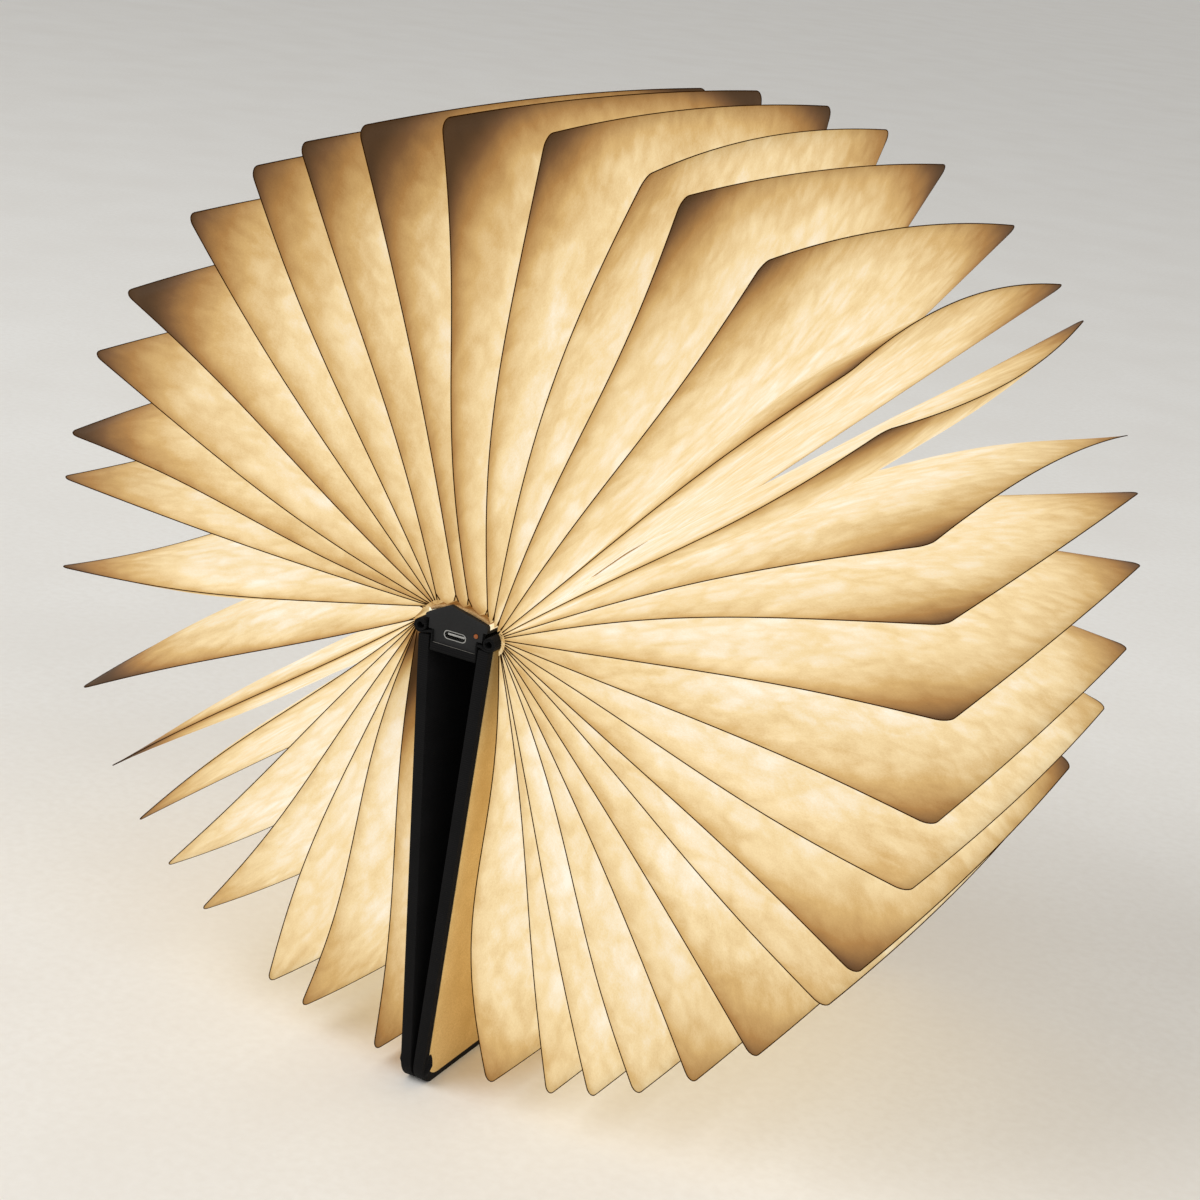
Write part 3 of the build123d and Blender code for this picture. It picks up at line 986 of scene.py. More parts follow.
        # Shares of the page: out from the fold, and from the near end to the far end
        reach = add_node(tree, "ShaderNodeMath", {0: sheet_s, 1: self.width}, operation="DIVIDE").outputs[0]
        across = add_node(
            tree, "ShaderNodeMapRange",
            {"Value": sheet_y, 1: -self.length / 2, 2: self.length / 2, 3: 0.0, 4: 1.0}
        ).outputs[0]
        nearness = add_node(
            tree, "ShaderNodeMapRange", {"Value": across, 1: 0.0, 2: self.near_share, 3: 1.0, 4: 0.0},
            interpolation_type="SMOOTHSTEP",
        ).outputs[0]
        steep = add_node(tree, "ShaderNodeMath", {0: endness, 1: self.blunt[0]}, operation="POWER").outputs[0]
        swell_across = add_node(tree, "ShaderNodeMath", {0: 1.0, 1: steep}, operation="SUBTRACT").outputs[0]
        late = add_node(tree, "ShaderNodeMath", {0: reach, 1: self.blunt[1]}, operation="POWER").outputs[0]
        swell_along = add_node(tree, "ShaderNodeMath", {0: 1.0, 1: late}, operation="SUBTRACT").outputs[0]
        swell = add_node(
            tree, "ShaderNodeMath", {0: swell_across, 1: swell_along}, operation="MULTIPLY"
        ).outputs[0]

        # The pocket swells by a share of the room to the neighbour on each sheet's side
        near_gap = add_node(
            tree, "ShaderNodeMix", {0: right, 2: given["Left Near Gap"], 3: given["Right Near Gap"]}
        ).outputs[0]
        far_gap = add_node(
            tree, "ShaderNodeMix", {0: right, 2: given["Left Far Gap"], 3: given["Right Far Gap"]}
        ).outputs[0]
        gap = add_node(tree, "ShaderNodeMix", {0: across, 2: near_gap, 3: far_gap}).outputs[0]
        room = add_node(tree, "ShaderNodeMath", {0: gap, 1: sheet_s}, operation="MULTIPLY").outputs[0]
        full = add_node(
            tree, "ShaderNodeMath", {0: room, 1: self.fullness / 2}, operation="MULTIPLY"
        ).outputs[0]
        from_rim = add_node(tree, "ShaderNodeMath", {0: crowned, 1: sheet_s}, operation="SUBTRACT").outputs[0]
        sided_rim = add_node(tree, "ShaderNodeMath", {0: from_rim, 1: side}, operation="MULTIPLY").outputs[0]
        own_place = add_node(
            tree, "ShaderNodeCombineXYZ", {0: sided_rim, 1: sheet_y, 2: given["Page"]}
        ).outputs[0]
        uneven = add_node(
            tree, "ShaderNodeTexNoise",
            {"Vector": own_place, "Scale": 1 / self.dent, "Detail": 2.0, "Roughness": 0.4}
        ).outputs[0]
        centred = add_node(tree, "ShaderNodeMath", {0: uneven, 1: 0.5}, operation="SUBTRACT").outputs[0]
        dented = add_node(
            tree, "ShaderNodeMath", {0: centred, 1: 2 * self.crumple, 2: full}, operation="MULTIPLY_ADD"
        ).outputs[0]
        lift = add_node(tree, "ShaderNodeMath", {0: dented, 1: swell}, operation="MULTIPLY").outputs[0]
        sided = add_node(tree, "ShaderNodeMath", {0: lift, 1: side}, operation="MULTIPLY").outputs[0]

        # Bends that both sheets share
        edge_bow = add_node(
            tree, "ShaderNodeMath", {0: given["Edge Bow"], 1: midness}, operation="MULTIPLY"
        ).outputs[0]
        edge_bend = add_node(tree, "ShaderNodeMath", {0: edge_bow, 1: reach}, operation="MULTIPLY").outputs[0]
        half_turn = add_node(tree, "ShaderNodeMath", {0: reach, 1: pi}, operation="MULTIPLY").outputs[0]
        full_turn = add_node(tree, "ShaderNodeMath", {0: reach, 1: 2 * pi}, operation="MULTIPLY").outputs[0]
        bow_shape = add_node(tree, "ShaderNodeMath", {0: half_turn}, operation="SINE").outputs[0]
        wave_shape = add_node(tree, "ShaderNodeMath", {0: full_turn}, operation="SINE").outputs[0]
        near_bow = add_node(
            tree, "ShaderNodeMath", {0: bow_shape, 1: given["Near Bow"]}, operation="MULTIPLY"
        ).outputs[0]
        near_bend = add_node(
            tree, "ShaderNodeMath", {0: wave_shape, 1: given["Near Wave"], 2: near_bow},
            operation="MULTIPLY_ADD",
        ).outputs[0]
        shared = add_node(
            tree, "ShaderNodeMath", {0: near_bend, 1: nearness, 2: edge_bend}, operation="MULTIPLY_ADD"
        ).outputs[0]
        aside = add_node(tree, "ShaderNodeMath", {0: shared, 1: sided}, operation="ADD").outputs[0]

        # Place each point: out along the page's direction, and aside from it
        angle = add_node(
            tree, "ShaderNodeMix", {0: across, 2: given["Near Direction"], 3: given["Far Direction"]}
        ).outputs[0]
        sine = add_node(tree, "ShaderNodeMath", {0: angle}, operation="SINE").outputs[0]
        cosine = add_node(tree, "ShaderNodeMath", {0: angle}, operation="COSINE").outputs[0]
        sine_down = add_node(tree, "ShaderNodeMath", {0: sine, 1: -1.0}, operation="MULTIPLY").outputs[0]
        out = add_node(tree, "ShaderNodeCombineXYZ", {0: sine, 2: cosine}).outputs[0]
        clockwise = add_node(tree, "ShaderNodeCombineXYZ", {0: cosine, 2: sine_down}).outputs[0]
        more = add_node(
            tree, "ShaderNodeMath", {0: given["Near Reach"], 1: nearness}, operation="MULTIPLY"
        ).outputs[0]
        stretched = add_node(
            tree, "ShaderNodeMath", {0: more, 1: reach, 2: sheet_s}, operation="MULTIPLY_ADD"
        ).outputs[0]
        outward = add_node(
            tree, "ShaderNodeVectorMath", {0: out, "Scale": stretched}, operation="SCALE"
        ).outputs[0]
        sideways = add_node(
            tree, "ShaderNodeVectorMath", {0: clockwise, "Scale": aside}, operation="SCALE"
        ).outputs[0]
        lengthways = add_node(tree, "ShaderNodeCombineXYZ", {1: sheet_y}).outputs[0]
        core = add_node(
            tree, "ShaderNodeMapRange", {"Value": sheet_s, 1: 0.0, 2: self.mouth, 3: 1.0, 4: 0.0},
            interpolation_type="SMOOTHSTEP",
        ).outputs[0]

        # The inner folds lie on the core's oval, drawn together at the near end. Between two of them, the
        # sheets of neighbouring pages meet in a valley
        own_turn, left_turn, right_turn = (
            add_node(
                tree, "ShaderNodeMix",
                {0: nearness, 2: given[f"{owner}Fold Turn"], 3: given[f"{owner}Near Fold Turn"]}
            ).outputs[0]
            for owner in ("", "Left ", "Right ")
        )
        other_turn = add_node(tree, "ShaderNodeMix", {0: right, 2: left_turn, 3: right_turn}).outputs[0]
        valley_turn = add_node(tree, "ShaderNodeMix", {0: 0.5, 2: own_turn, 3: other_turn}).outputs[0]
        fold, drawn_fold, valley = (
            self.core_point(tree, turn, given["Spine Height"])
            for turn in (given["Fold Turn"], own_turn, valley_turn)
        )
        inwards_share = add_node(tree, "ShaderNodeMath", {0: 1.0, 1: reach}, operation="SUBTRACT").outputs[0]
        slip = add_node(
            tree, "ShaderNodeVectorMath", {0: drawn_fold, 1: fold}, operation="SUBTRACT"
        ).outputs[0]
        drawn = add_node(
            tree, "ShaderNodeVectorMath", {0: slip, "Scale": inwards_share}, operation="SCALE"
        ).outputs[0]
        aside_fold = add_node(
            tree, "ShaderNodeVectorMath", {0: valley, 1: drawn_fold}, operation="SUBTRACT"
        ).outputs[0]
        to_valley = add_node(
            tree, "ShaderNodeVectorMath", {0: aside_fold, "Scale": core}, operation="SCALE"
        ).outputs[0]
        place = fold
        for step in (drawn, outward, sideways, lengthways, to_valley):
            place = add_node(tree, "ShaderNodeVectorMath", {0: place, 1: step}, operation="ADD").outputs[0]

        # What the finish reads is the sheet's own place
        at_edge = add_node(tree, "ShaderNodeMath", {0: share, 1: 0.9999}, operation="GREATER_THAN").outputs[0]
        at_end = add_node(tree, "ShaderNodeMath", {0: inwards, 1: 0.0001}, operation="LESS_THAN").outputs[0]
        past_mouth = add_node(tree, "ShaderNodeMath", {0: core, 1: 0.5}, operation="LESS_THAN").outputs[0]
        welded_end = add_node(
            tree, "ShaderNodeMath", {0: at_end, 1: past_mouth}, operation="MULTIPLY"
        ).outputs[0]
        welded = add_node(tree, "ShaderNodeMath", {0: at_edge, 1: welded_end}, operation="MAXIMUM").outputs[0]

        pocket = grid.outputs["Mesh"]
        for name, kind, value in (
            ("sheet_place", "FLOAT_VECTOR", own_place), ("page_shade", "FLOAT", given["Shade"]),
            ("welded", "FLOAT", welded)
        ):
            pocket = add_node(
                tree, "GeometryNodeStoreNamedAttribute", {"Geometry": pocket, "Name": name, "Value": value},
                data_type=kind, domain="POINT",
            ).outputs[0]
        placed = add_node(tree, "GeometryNodeSetPosition", {"Geometry": pocket, "Position": place}).outputs[0]
        closed = add_node(
            tree, "GeometryNodeMergeByDistance", {"Geometry": placed, "Distance": MERGE}
        ).outputs[0]

        # Give the sheets their thickness: an outer skin over the inner one
        outer = add_node(
            tree, "GeometryNodeExtrudeMesh", {"Mesh": closed, "Offset Scale": self.sheet, "Individual": False}
        ).outputs[0]
        inner = add_node(tree, "GeometryNodeFlipFaces", {0: closed}).outputs[0]
        skins = add_node(tree, "GeometryNodeJoinGeometry")
        for skin in (inner, outer):
            tree.links.new(skin, skins.inputs[0])
        sheets = add_node(
            tree, "GeometryNodeMergeByDistance", {"Geometry": skins.outputs[0], "Distance": MERGE}
        ).outputs[0]
        papered = add_node(
            tree, "GeometryNodeSetMaterial",
            {"Geometry": sheets, "Material": self.dresser.material(Finishes.PAGE_PAPER)},
        ).outputs[0]

        # The weld runs along the near edge, the outer edge and the far edge
        weld_mark = add_node(
            tree, "GeometryNodeInputNamedAttribute", {"Name": "welded"}, data_type="FLOAT"
        ).outputs[0]
        on_weld = add_node(
            tree, "ShaderNodeMath", {0: weld_mark, 1: 0.99}, operation="GREATER_THAN"
        ).outputs[0]
        line = add_node(tree, "GeometryNodeMeshToCurve", {"Mesh": closed, "Selection": on_weld}).outputs[0]
        ring = add_node(
            tree, "GeometryNodeCurvePrimitiveCircle", {"Resolution": 6, "Radius": self.weld}
        ).outputs[0]
        bead = add_node(
            tree, "GeometryNodeCurveToMesh", {"Curve": line, "Profile Curve": ring, "Fill Caps": True}
        ).outputs[0]
        beaded = add_node(
            tree, "GeometryNodeSetMaterial",
            {"Geometry": bead, "Material": self.dresser.material(Finishes.PAGE_SEAM)},
        ).outputs[0]

        both = add_node(tree, "GeometryNodeJoinGeometry")
        for part in (beaded, papered):
            tree.links.new(part, both.inputs[0])
        real = add_node(tree, "GeometryNodeRealizeInstances", {0: both.outputs[0]}).outputs[0]
        smooth = add_node(tree, "GeometryNodeSetShadeSmooth", {0: real}).outputs[0]
        add_node(tree, "NodeGroupOutput", {0: smooth})
        return tree

    def build(self, frame: dict[str, Any]) -> None:
        """Grow every page's pocket round its CAD plate.
        """
        tree = self.tree()
        spine_height = next(j for j in frame["joints"] if j["name"] == "left_cover_hinge")["pos_m"][2]
        names = sorted(name for name in frame["nodes"] if name.startswith("page_"))
        plates = [Plate.read(frame["nodes"][name], spine_height) for name in names]
        forms = dict(zip(names, PAGE_FORMS, strict=True))
        near = [plate.direction + radians(forms[plate.name].near) for plate in plates]
        far = [plate.direction + radians(forms[plate.name].far) for plate in plates]
        width, height = self.core
        folds = [atan2(plate.fold.x / width, (plate.fold.z - spine_height) / height) for plate in plates]
        near_folds = [near_fold_turn(number) for number in range(1, len(plates) + 1)]
        for number, plate in enumerate(plates):
            form = forms[plate.name]
            before, after = max(number - 1, 0), min(number + 1, len(plates) - 1)
            values = {
                "Near Direction": near[number],
                "Far Direction": far[number],
                "Edge Bow": form.bow * MM,
                "Near Bow": form.near_bow * MM,
                "Near Wave": form.near_wave * MM,
                "Near Reach": form.near_reach * MM,
                "Page": float(number + 1),
                "Shade": float(form.shade),
                "Left Near Gap": near[number] - near[before],
                "Left Far Gap": far[number] - far[before],
                "Right Near Gap": near[after] - near[number],
                "Right Far Gap": far[after] - far[number],
                "Spine Height": spine_height,
            }
            for owner, place in (("", number), ("Left ", before), ("Right ", after)):
                values[f"{owner}Fold Turn"] = folds[place]
                values[f"{owner}Near Fold Turn"] = near_folds[place]
            piece = grow(f"{plate.name}_pocket", tree, values)
            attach(piece, plate.name)
            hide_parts(plate.name)
            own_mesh(piece)
            log.info("%s points %.1f degrees from up", piece.name, degrees(plate.direction))


# ------------------------------------------------------------------------------------- covers, spine, core


@dataclass
class SoftCopies:
    """Rigid parts whose CAD solids have the right shape but sharp edges.

    Attributes:
        dresser: makes the finishes.
        flat: greatest angle, in degrees, between two faces that are one.
        edge: least angle, in degrees, of an edge that is rounded.
        crisp: least angle, in degrees, at which the shading stays sharp.
        segments: faces across a rounded edge.
        radii: by CAD node, the radius of its edges and its finish.
    """

    dresser: Dresser
    flat: float = 1
    edge: float = 30
    crisp: float = 40
    segments: int = 3
    radii: dict[str, tuple[float, Finishes]] = field(
        default_factory=lambda: {
            "left_cover_wrap": (0.9 * MM, Finishes.COVER_CLOTH),
            "right_cover_wrap": (0.9 * MM, Finishes.COVER_CLOTH),
            "spine_wrap": (0.4 * MM, Finishes.COVER_CLOTH),
            "near_end_cap": (0.35 * MM, Finishes.BLACK_PLASTIC),
            "far_end_cap": (0.35 * MM, Finishes.BLACK_PLASTIC),
            "left_lining": (0.1 * MM, Finishes.LINING_PAPER),
            "right_lining": (0.1 * MM, Finishes.LINING_PAPER),
        }
    )

    def build(self, frame: dict[str, Any]) -> None:
        """Copy each part, soften its edges and let the copy stand for it.
        """
        held = frame["record"]["behaviour"]["bodies"]
        bodies = {node: name for name, nodes in held.items() for node in nodes}
        for node, (radius, finish) in self.radii.items():
            mesh = frame["nodes"][node].data.copy()
            shape = bmesh.new()
            shape.from_mesh(mesh)
            bmesh.ops.remove_doubles(shape, verts=shape.verts, dist=2 * MERGE)
            bmesh.ops.dissolve_limit(
                shape, angle_limit=radians(self.flat), verts=shape.verts, edges=shape.edges
            )
            inner = (e for e in shape.edges if len(e.link_faces) == 2)
            sharp = [e for e in inner if e.calc_face_angle() > radians(self.edge)]
            bmesh.ops.bevel(
                shape, geom=sharp, offset=radius, segments=self.segments, profile=0.5, affect="EDGES",
                clamp_overlap=True,
            )
            bmesh.ops.triangulate(shape, faces=[f for f in shape.faces if len(f.verts) > 4])
            shape.to_mesh(mesh)
            shape.free()
            piece = bpy.data.objects.new(f"{node}_soft", mesh)
            bpy.context.scene.collection.objects.link(piece)
            mesh.shade_smooth()
            mesh.set_sharp_from_angle(angle=radians(self.crisp))
            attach(piece, bodies[node])
            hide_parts(node)
            self.dresser.dress(piece, finish)
            log.info("%s stands for %s", piece.name, node)


@dataclass
class JointRolls:
    """The two cloth joints: the spine's cloth, rolled up along each cover's fold line.

    Attributes:
        dresser: makes the finishes.
        cloth: thickness of the cloth.
        radius: of the middle of its outermost turn.
        turns: how often it goes round.
        pitch: how much nearer to the middle it gets with each turn.
        tab: how far from the fold line its flat end starts, and how far below.
        lead: faces from there to the roll.
        length: along the spine.
        rows: rows of faces along the spine.
        steps: faces round one turn.
        slack: how far the roll swells and shrinks along its way.
        slack_run: how far it is from swollen to shrunk.
        crisp: least angle, in degrees, at which the shading stays sharp.
    """

    dresser: Dresser
    cloth: float = 0.56 * MM
    radius: float = 2.4 * MM
    turns: float = 1.7
    pitch: float = 0.66 * MM
    tab: tuple[float, float] = (4.6 * MM, 1.5 * MM)
    lead: int = 8
    length: float = 216 * MM
    rows: int = 72
    steps: int = 30
    slack: float = 0.12 * MM
    slack_run: float = 9 * MM
    crisp: float = 50

    def section(self) -> list[tuple[float, float]]:
        """Follow the middle of the cloth from its tab round the roll.

        Returns:
            Points right of the fold line and up from it, for the right joint.
        """
        reach, drop = self.tab
        points = []
        for step in range(self.lead):
            share = step / self.lead
            eased = share * share * (3 - 2 * share)
            points.append((-reach * (1 - share), -drop - (self.radius - drop) * eased))
        count = round(self.turns * self.steps)
        for step in range(count + 1):
            turn = step / self.steps
            radius = self.radius - self.pitch * turn
            points.append((radius * sin(2 * pi * turn), -radius * cos(2 * pi * turn)))
        return points

    def build(self, frame: dict[str, Any]) -> None:
        """Roll both cloths and let them stand for the CAD rolls.
        """
        for side, name in ((-1, "left"), (1, "right")):
            fold = next(j for j in frame["joints"] if j["name"] == f"{name}_cover_hinge")["pos_m"]
            middle = self.section()
            shape = bmesh.new()
            rings = []
            for row in range(self.rows + 1):
                along = (row / self.rows - 0.5) * self.length
                swell = self.slack * noise.noise(Vector((side * 7.0, 0.0, along / self.slack_run)))
                ring = []
                for face in (1, -1):
                    line = []
                    for number, (right, up) in enumerate(middle):
                        before, after = middle[max(number - 1, 0)], middle[min(number + 1, len(middle) - 1)]
                        run = Vector((after[0] - before[0], after[1] - before[1])).normalized()
                        half = face * self.cloth / 2
                        scale = 1 + swell / self.radius * min(number / self.lead, 1)
                        x = right * scale + run.y * half
                        z = up * scale - run.x * half
                        line.append(shape.verts.new((fold[0] + side * x, along, fold[2] + z)))
                    ring.extend(line if face > 0 else reversed(line))
                rings.append(ring)
            total = len(rings[0])
            for first, second in zip(rings, rings[1:]):
                for number in range(total):
                    after = (number + 1) % total
                    shape.faces.new((first[number], first[after], second[after], second[number]))
            for ring in (rings[0], rings[-1]):
                for number in range(total // 2 - 1):
                    across = (ring[total - 2 - number], ring[total - 1 - number])
                    shape.faces.new((ring[number], ring[number + 1], *across))
            bmesh.ops.recalc_face_normals(shape, faces=shape.faces)
            mesh = bpy.data.meshes.new(f"{name}_joint_roll")
            shape.to_mesh(mesh)
            shape.free()
            mesh.shade_smooth()
            mesh.set_sharp_from_angle(angle=radians(self.crisp))
            piece = bpy.data.objects.new(f"{name}_joint_roll", mesh)
            bpy.context.scene.collection.objects.link(piece)
            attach(piece, "root")
            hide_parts(f"{name}_joint_cloth")
            self.dresser.dress(piece, Finishes.COVER_CLOTH)
            log.info("%s rolled in %.1f turns", piece.name, self.turns)


@dataclass
class FoldStrip:
    """The strip to which the pages' inner folds are glued, over the diffuser and down its two ends.

    Attributes:
        dresser: makes the finishes.
        oval: half the width and the height of the strip's outer face.
        half_turn: how far round the core it goes each way from the top, in radians.
        end: from the middle of the spine to the diffuser's end.
        drop: how far down the diffuser's end it goes.
        gap: between the diffuser's end and the strip.
        round_off: how far down and how far along the strip's bend over the diffuser's edge goes.
        thickness: of the glued paper.
        steps: faces round the core.
        uneven: how far its edge wanders.
        ripples: how many times it wanders in a turn of one radian.
    """

    dresser: Dresser
    oval: tuple[float, float] = (16.9 * MM, 9.2 * MM)
    half_turn: float = 0.8
    end: float = 105.3 * MM
    drop: float = 1.3 * MM
    gap: float = 0.16 * MM
    round_off: tuple[float, float] = (0.12 * MM, 0.1 * MM)
    thickness: float = 0.18 * MM
    steps: int = 72
    uneven: float = 0.3 * MM
    ripples: float = 14

    def build(self, frame: dict[str, Any]) -> None:
        """Bend the strip over the core.
        """
        height = next(j for j in frame["joints"] if j["name"] == "left_cover_hinge")["pos_m"][2]
        width, rise = self.oval
        flap = self.end + self.gap
        down, along = self.round_off
        profile = [(self.drop, flap), (self.drop / 2, flap), (down, flap), (0.0, self.end - along)]
        profile += [(0.0, self.end * share) for share in (0.9, 0.6, 0.3, 0.0)]
        profile += [(down, -along) for down, along in reversed(profile[:-1])]
        shape = bmesh.new()
        rows = []
        for step in range(self.steps + 1):
            turn = (step / self.steps * 2 - 1) * self.half_turn
            row = []
            for number, (down, along) in enumerate(profile):
                edge = number in (0, len(profile) - 1)
                wander = self.uneven * noise.noise(Vector((turn * self.ripples, number, 0))) if edge else 0.0
                row.append(shape.verts.new((
                    (width - down - wander) * sin(turn), -along, height + (rise - down - wander) * cos(turn)
                )))
            rows.append(row)
        for first, second in zip(rows, rows[1:]):
            for number in range(len(profile) - 1):
                shape.faces.new((first[number], first[number + 1], second[number + 1], second[number]))
        bmesh.ops.recalc_face_normals(shape, faces=shape.faces)
        top = max(shape.faces, key=lambda face: face.calc_center_median().z)
        if top.normal.z < 0:
            bmesh.ops.reverse_faces(shape, faces=shape.faces)
        mesh = bpy.data.meshes.new("fold_strip")
        shape.to_mesh(mesh)
        shape.free()
        mesh.shade_smooth()
        piece = bpy.data.objects.new("fold_strip", mesh)
        bpy.context.scene.collection.objects.link(piece)
        wall = piece.modifiers.new("wall", "SOLIDIFY")
        wall.thickness, wall.offset = self.thickness, -1.0
        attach(piece, "root")
        # Its tan colour is painted shade of the crowded folds
        self.dresser.dress(piece, Finishes.GLUED_FOLDS, "page_paper")
        log.info("%s laid over the diffuser", piece.name)


@dataclass
class Diodes:
    """Two rows of light-emitting diodes: a white housing each, with a dome of phosphor in it.

    Attributes:
        dresser: makes the finishes.
        housing: width, length and height of a housing.
        lip: height of the housing's bevelled top, and what the top keeps of its width.
        dome: radius of the phosphor dome.
        dome_rise: its height over its radius.
        dome_lift: how far its middle is above the housing.
        dome_faces: faces round it and from pole to pole.
        row_spacing: from row to row.
        pitch: from diode to diode.
        count: diodes in a row.
    """

    dresser: Dresser
    housing: tuple[float, float, float] = (3.5 * MM, 2.8 * MM, 0.6 * MM)
    lip: tuple[float, float] = (0.1 * MM, 0.9)
    dome: float = 1.15 * MM
    dome_rise: float = 0.35
    dome_lift: float = 0.05 * MM
    dome_faces: tuple[int, int] = (16, 8)
    row_spacing: float = 10.0 * MM
    pitch: float = 12.0 * MM
    count: int = 16

    def tree(self) -> bpy.types.GeometryNodeTree:
        """Build the geometry tree that sets the diodes on the board.

        Returns:
            The tree. Its named inputs are the spacings and the middle of the board's top.
        """
        tree = bpy.data.node_groups.new("diode_rows", "GeometryNodeTree")
        tree.interface.new_socket("Geometry", in_out="OUTPUT", socket_type="NodeSocketGeometry")
        for name in ("Row Spacing", "Row Length"):
            tree.interface.new_socket(name, in_out="INPUT", socket_type="NodeSocketFloat")
        tree.interface.new_socket("Board Top", in_out="INPUT", socket_type="NodeSocketVector")
        given = add_node(tree, "NodeGroupInput").outputs
        spots = add_node(
            tree, "GeometryNodeMeshGrid",
            {
                "Size X": given["Row Spacing"], "Size Y": given["Row Length"],
                "Vertices X": 2, "Vertices Y": self.count,
            },
        ).outputs[0]
        block = add_node(tree, "GeometryNodeMeshCube", {"Size": self.housing}).outputs[0]
        normal = add_node(tree, "GeometryNodeInputNormal").outputs[0]
        upward = add_node(tree, "ShaderNodeSeparateXYZ", {0: normal}).outputs[2]
        on_top = add_node(tree, "ShaderNodeMath", {0: upward, 1: 0.9}, operation="GREATER_THAN").outputs[0]
        lid = add_node(
            tree, "GeometryNodeExtrudeMesh", {"Mesh": block, "Selection": on_top, "Offset Scale": self.lip[0]}
        ).outputs
        crown = add_node(
            tree, "GeometryNodeScaleElements", {"Geometry": lid[0], "Selection": lid[1], "Scale": self.lip[1]}
        )
        standing = add_node(
            tree, "GeometryNodeTransform",
            {"Geometry": crown.outputs[0], "Translation": (0.0, 0.0, self.housing[2] / 2)}
        ).outputs[0]
        housed = add_node(
            tree, "GeometryNodeSetMaterial",
            {"Geometry": standing, "Material": self.dresser.material(Finishes.DIODE_HOUSING)},
        ).outputs[0]
        round_it, up_it = self.dome_faces
        ball = add_node(
            tree, "GeometryNodeMeshUVSphere", {"Segments": round_it, "Rings": up_it, "Radius": self.dome}
        ).outputs[0]
        lifted = (0.0, 0.0, self.housing[2] + self.dome_lift)
        dome = add_node(
            tree, "GeometryNodeTransform",
            {"Geometry": ball, "Translation": lifted, "Scale": (1.0, 1.0, self.dome_rise)},
        ).outputs[0]
        domed = add_node(
            tree, "GeometryNodeSetMaterial",
            {"Geometry": dome, "Material": self.dresser.material(Finishes.LED_PHOSPHOR)},
        ).outputs[0]
        diode = add_node(tree, "GeometryNodeJoinGeometry")
        for part in (domed, housed):
            tree.links.new(part, diode.inputs[0])
        rows = add_node(
            tree, "GeometryNodeInstanceOnPoints", {"Points": spots, "Instance": diode.outputs[0]}
        ).outputs[0]
        moved = add_node(
            tree, "GeometryNodeTransform", {"Geometry": rows, "Translation": given["Board Top"]}
        ).outputs[0]
        add_node(
            tree, "NodeGroupOutput",
            {0: add_node(tree, "GeometryNodeRealizeInstances", {0: moved}).outputs[0]}
        )
        return tree

    def build(self) -> None:
        """Set the diodes on their board."""
        low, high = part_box("leds")
        values = {
            "Row Spacing": self.row_spacing,
            "Row Length": self.pitch * (self.count - 1),
            "Board Top": ((low[0] + high[0]) / 2, (low[1] + high[1]) / 2, low[2]),
        }
        piece = grow("diode_rows", self.tree(), values)
        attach(piece, "root")
        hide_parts("leds")
        log.info("%s: %d diodes", piece.name, 2 * self.count)


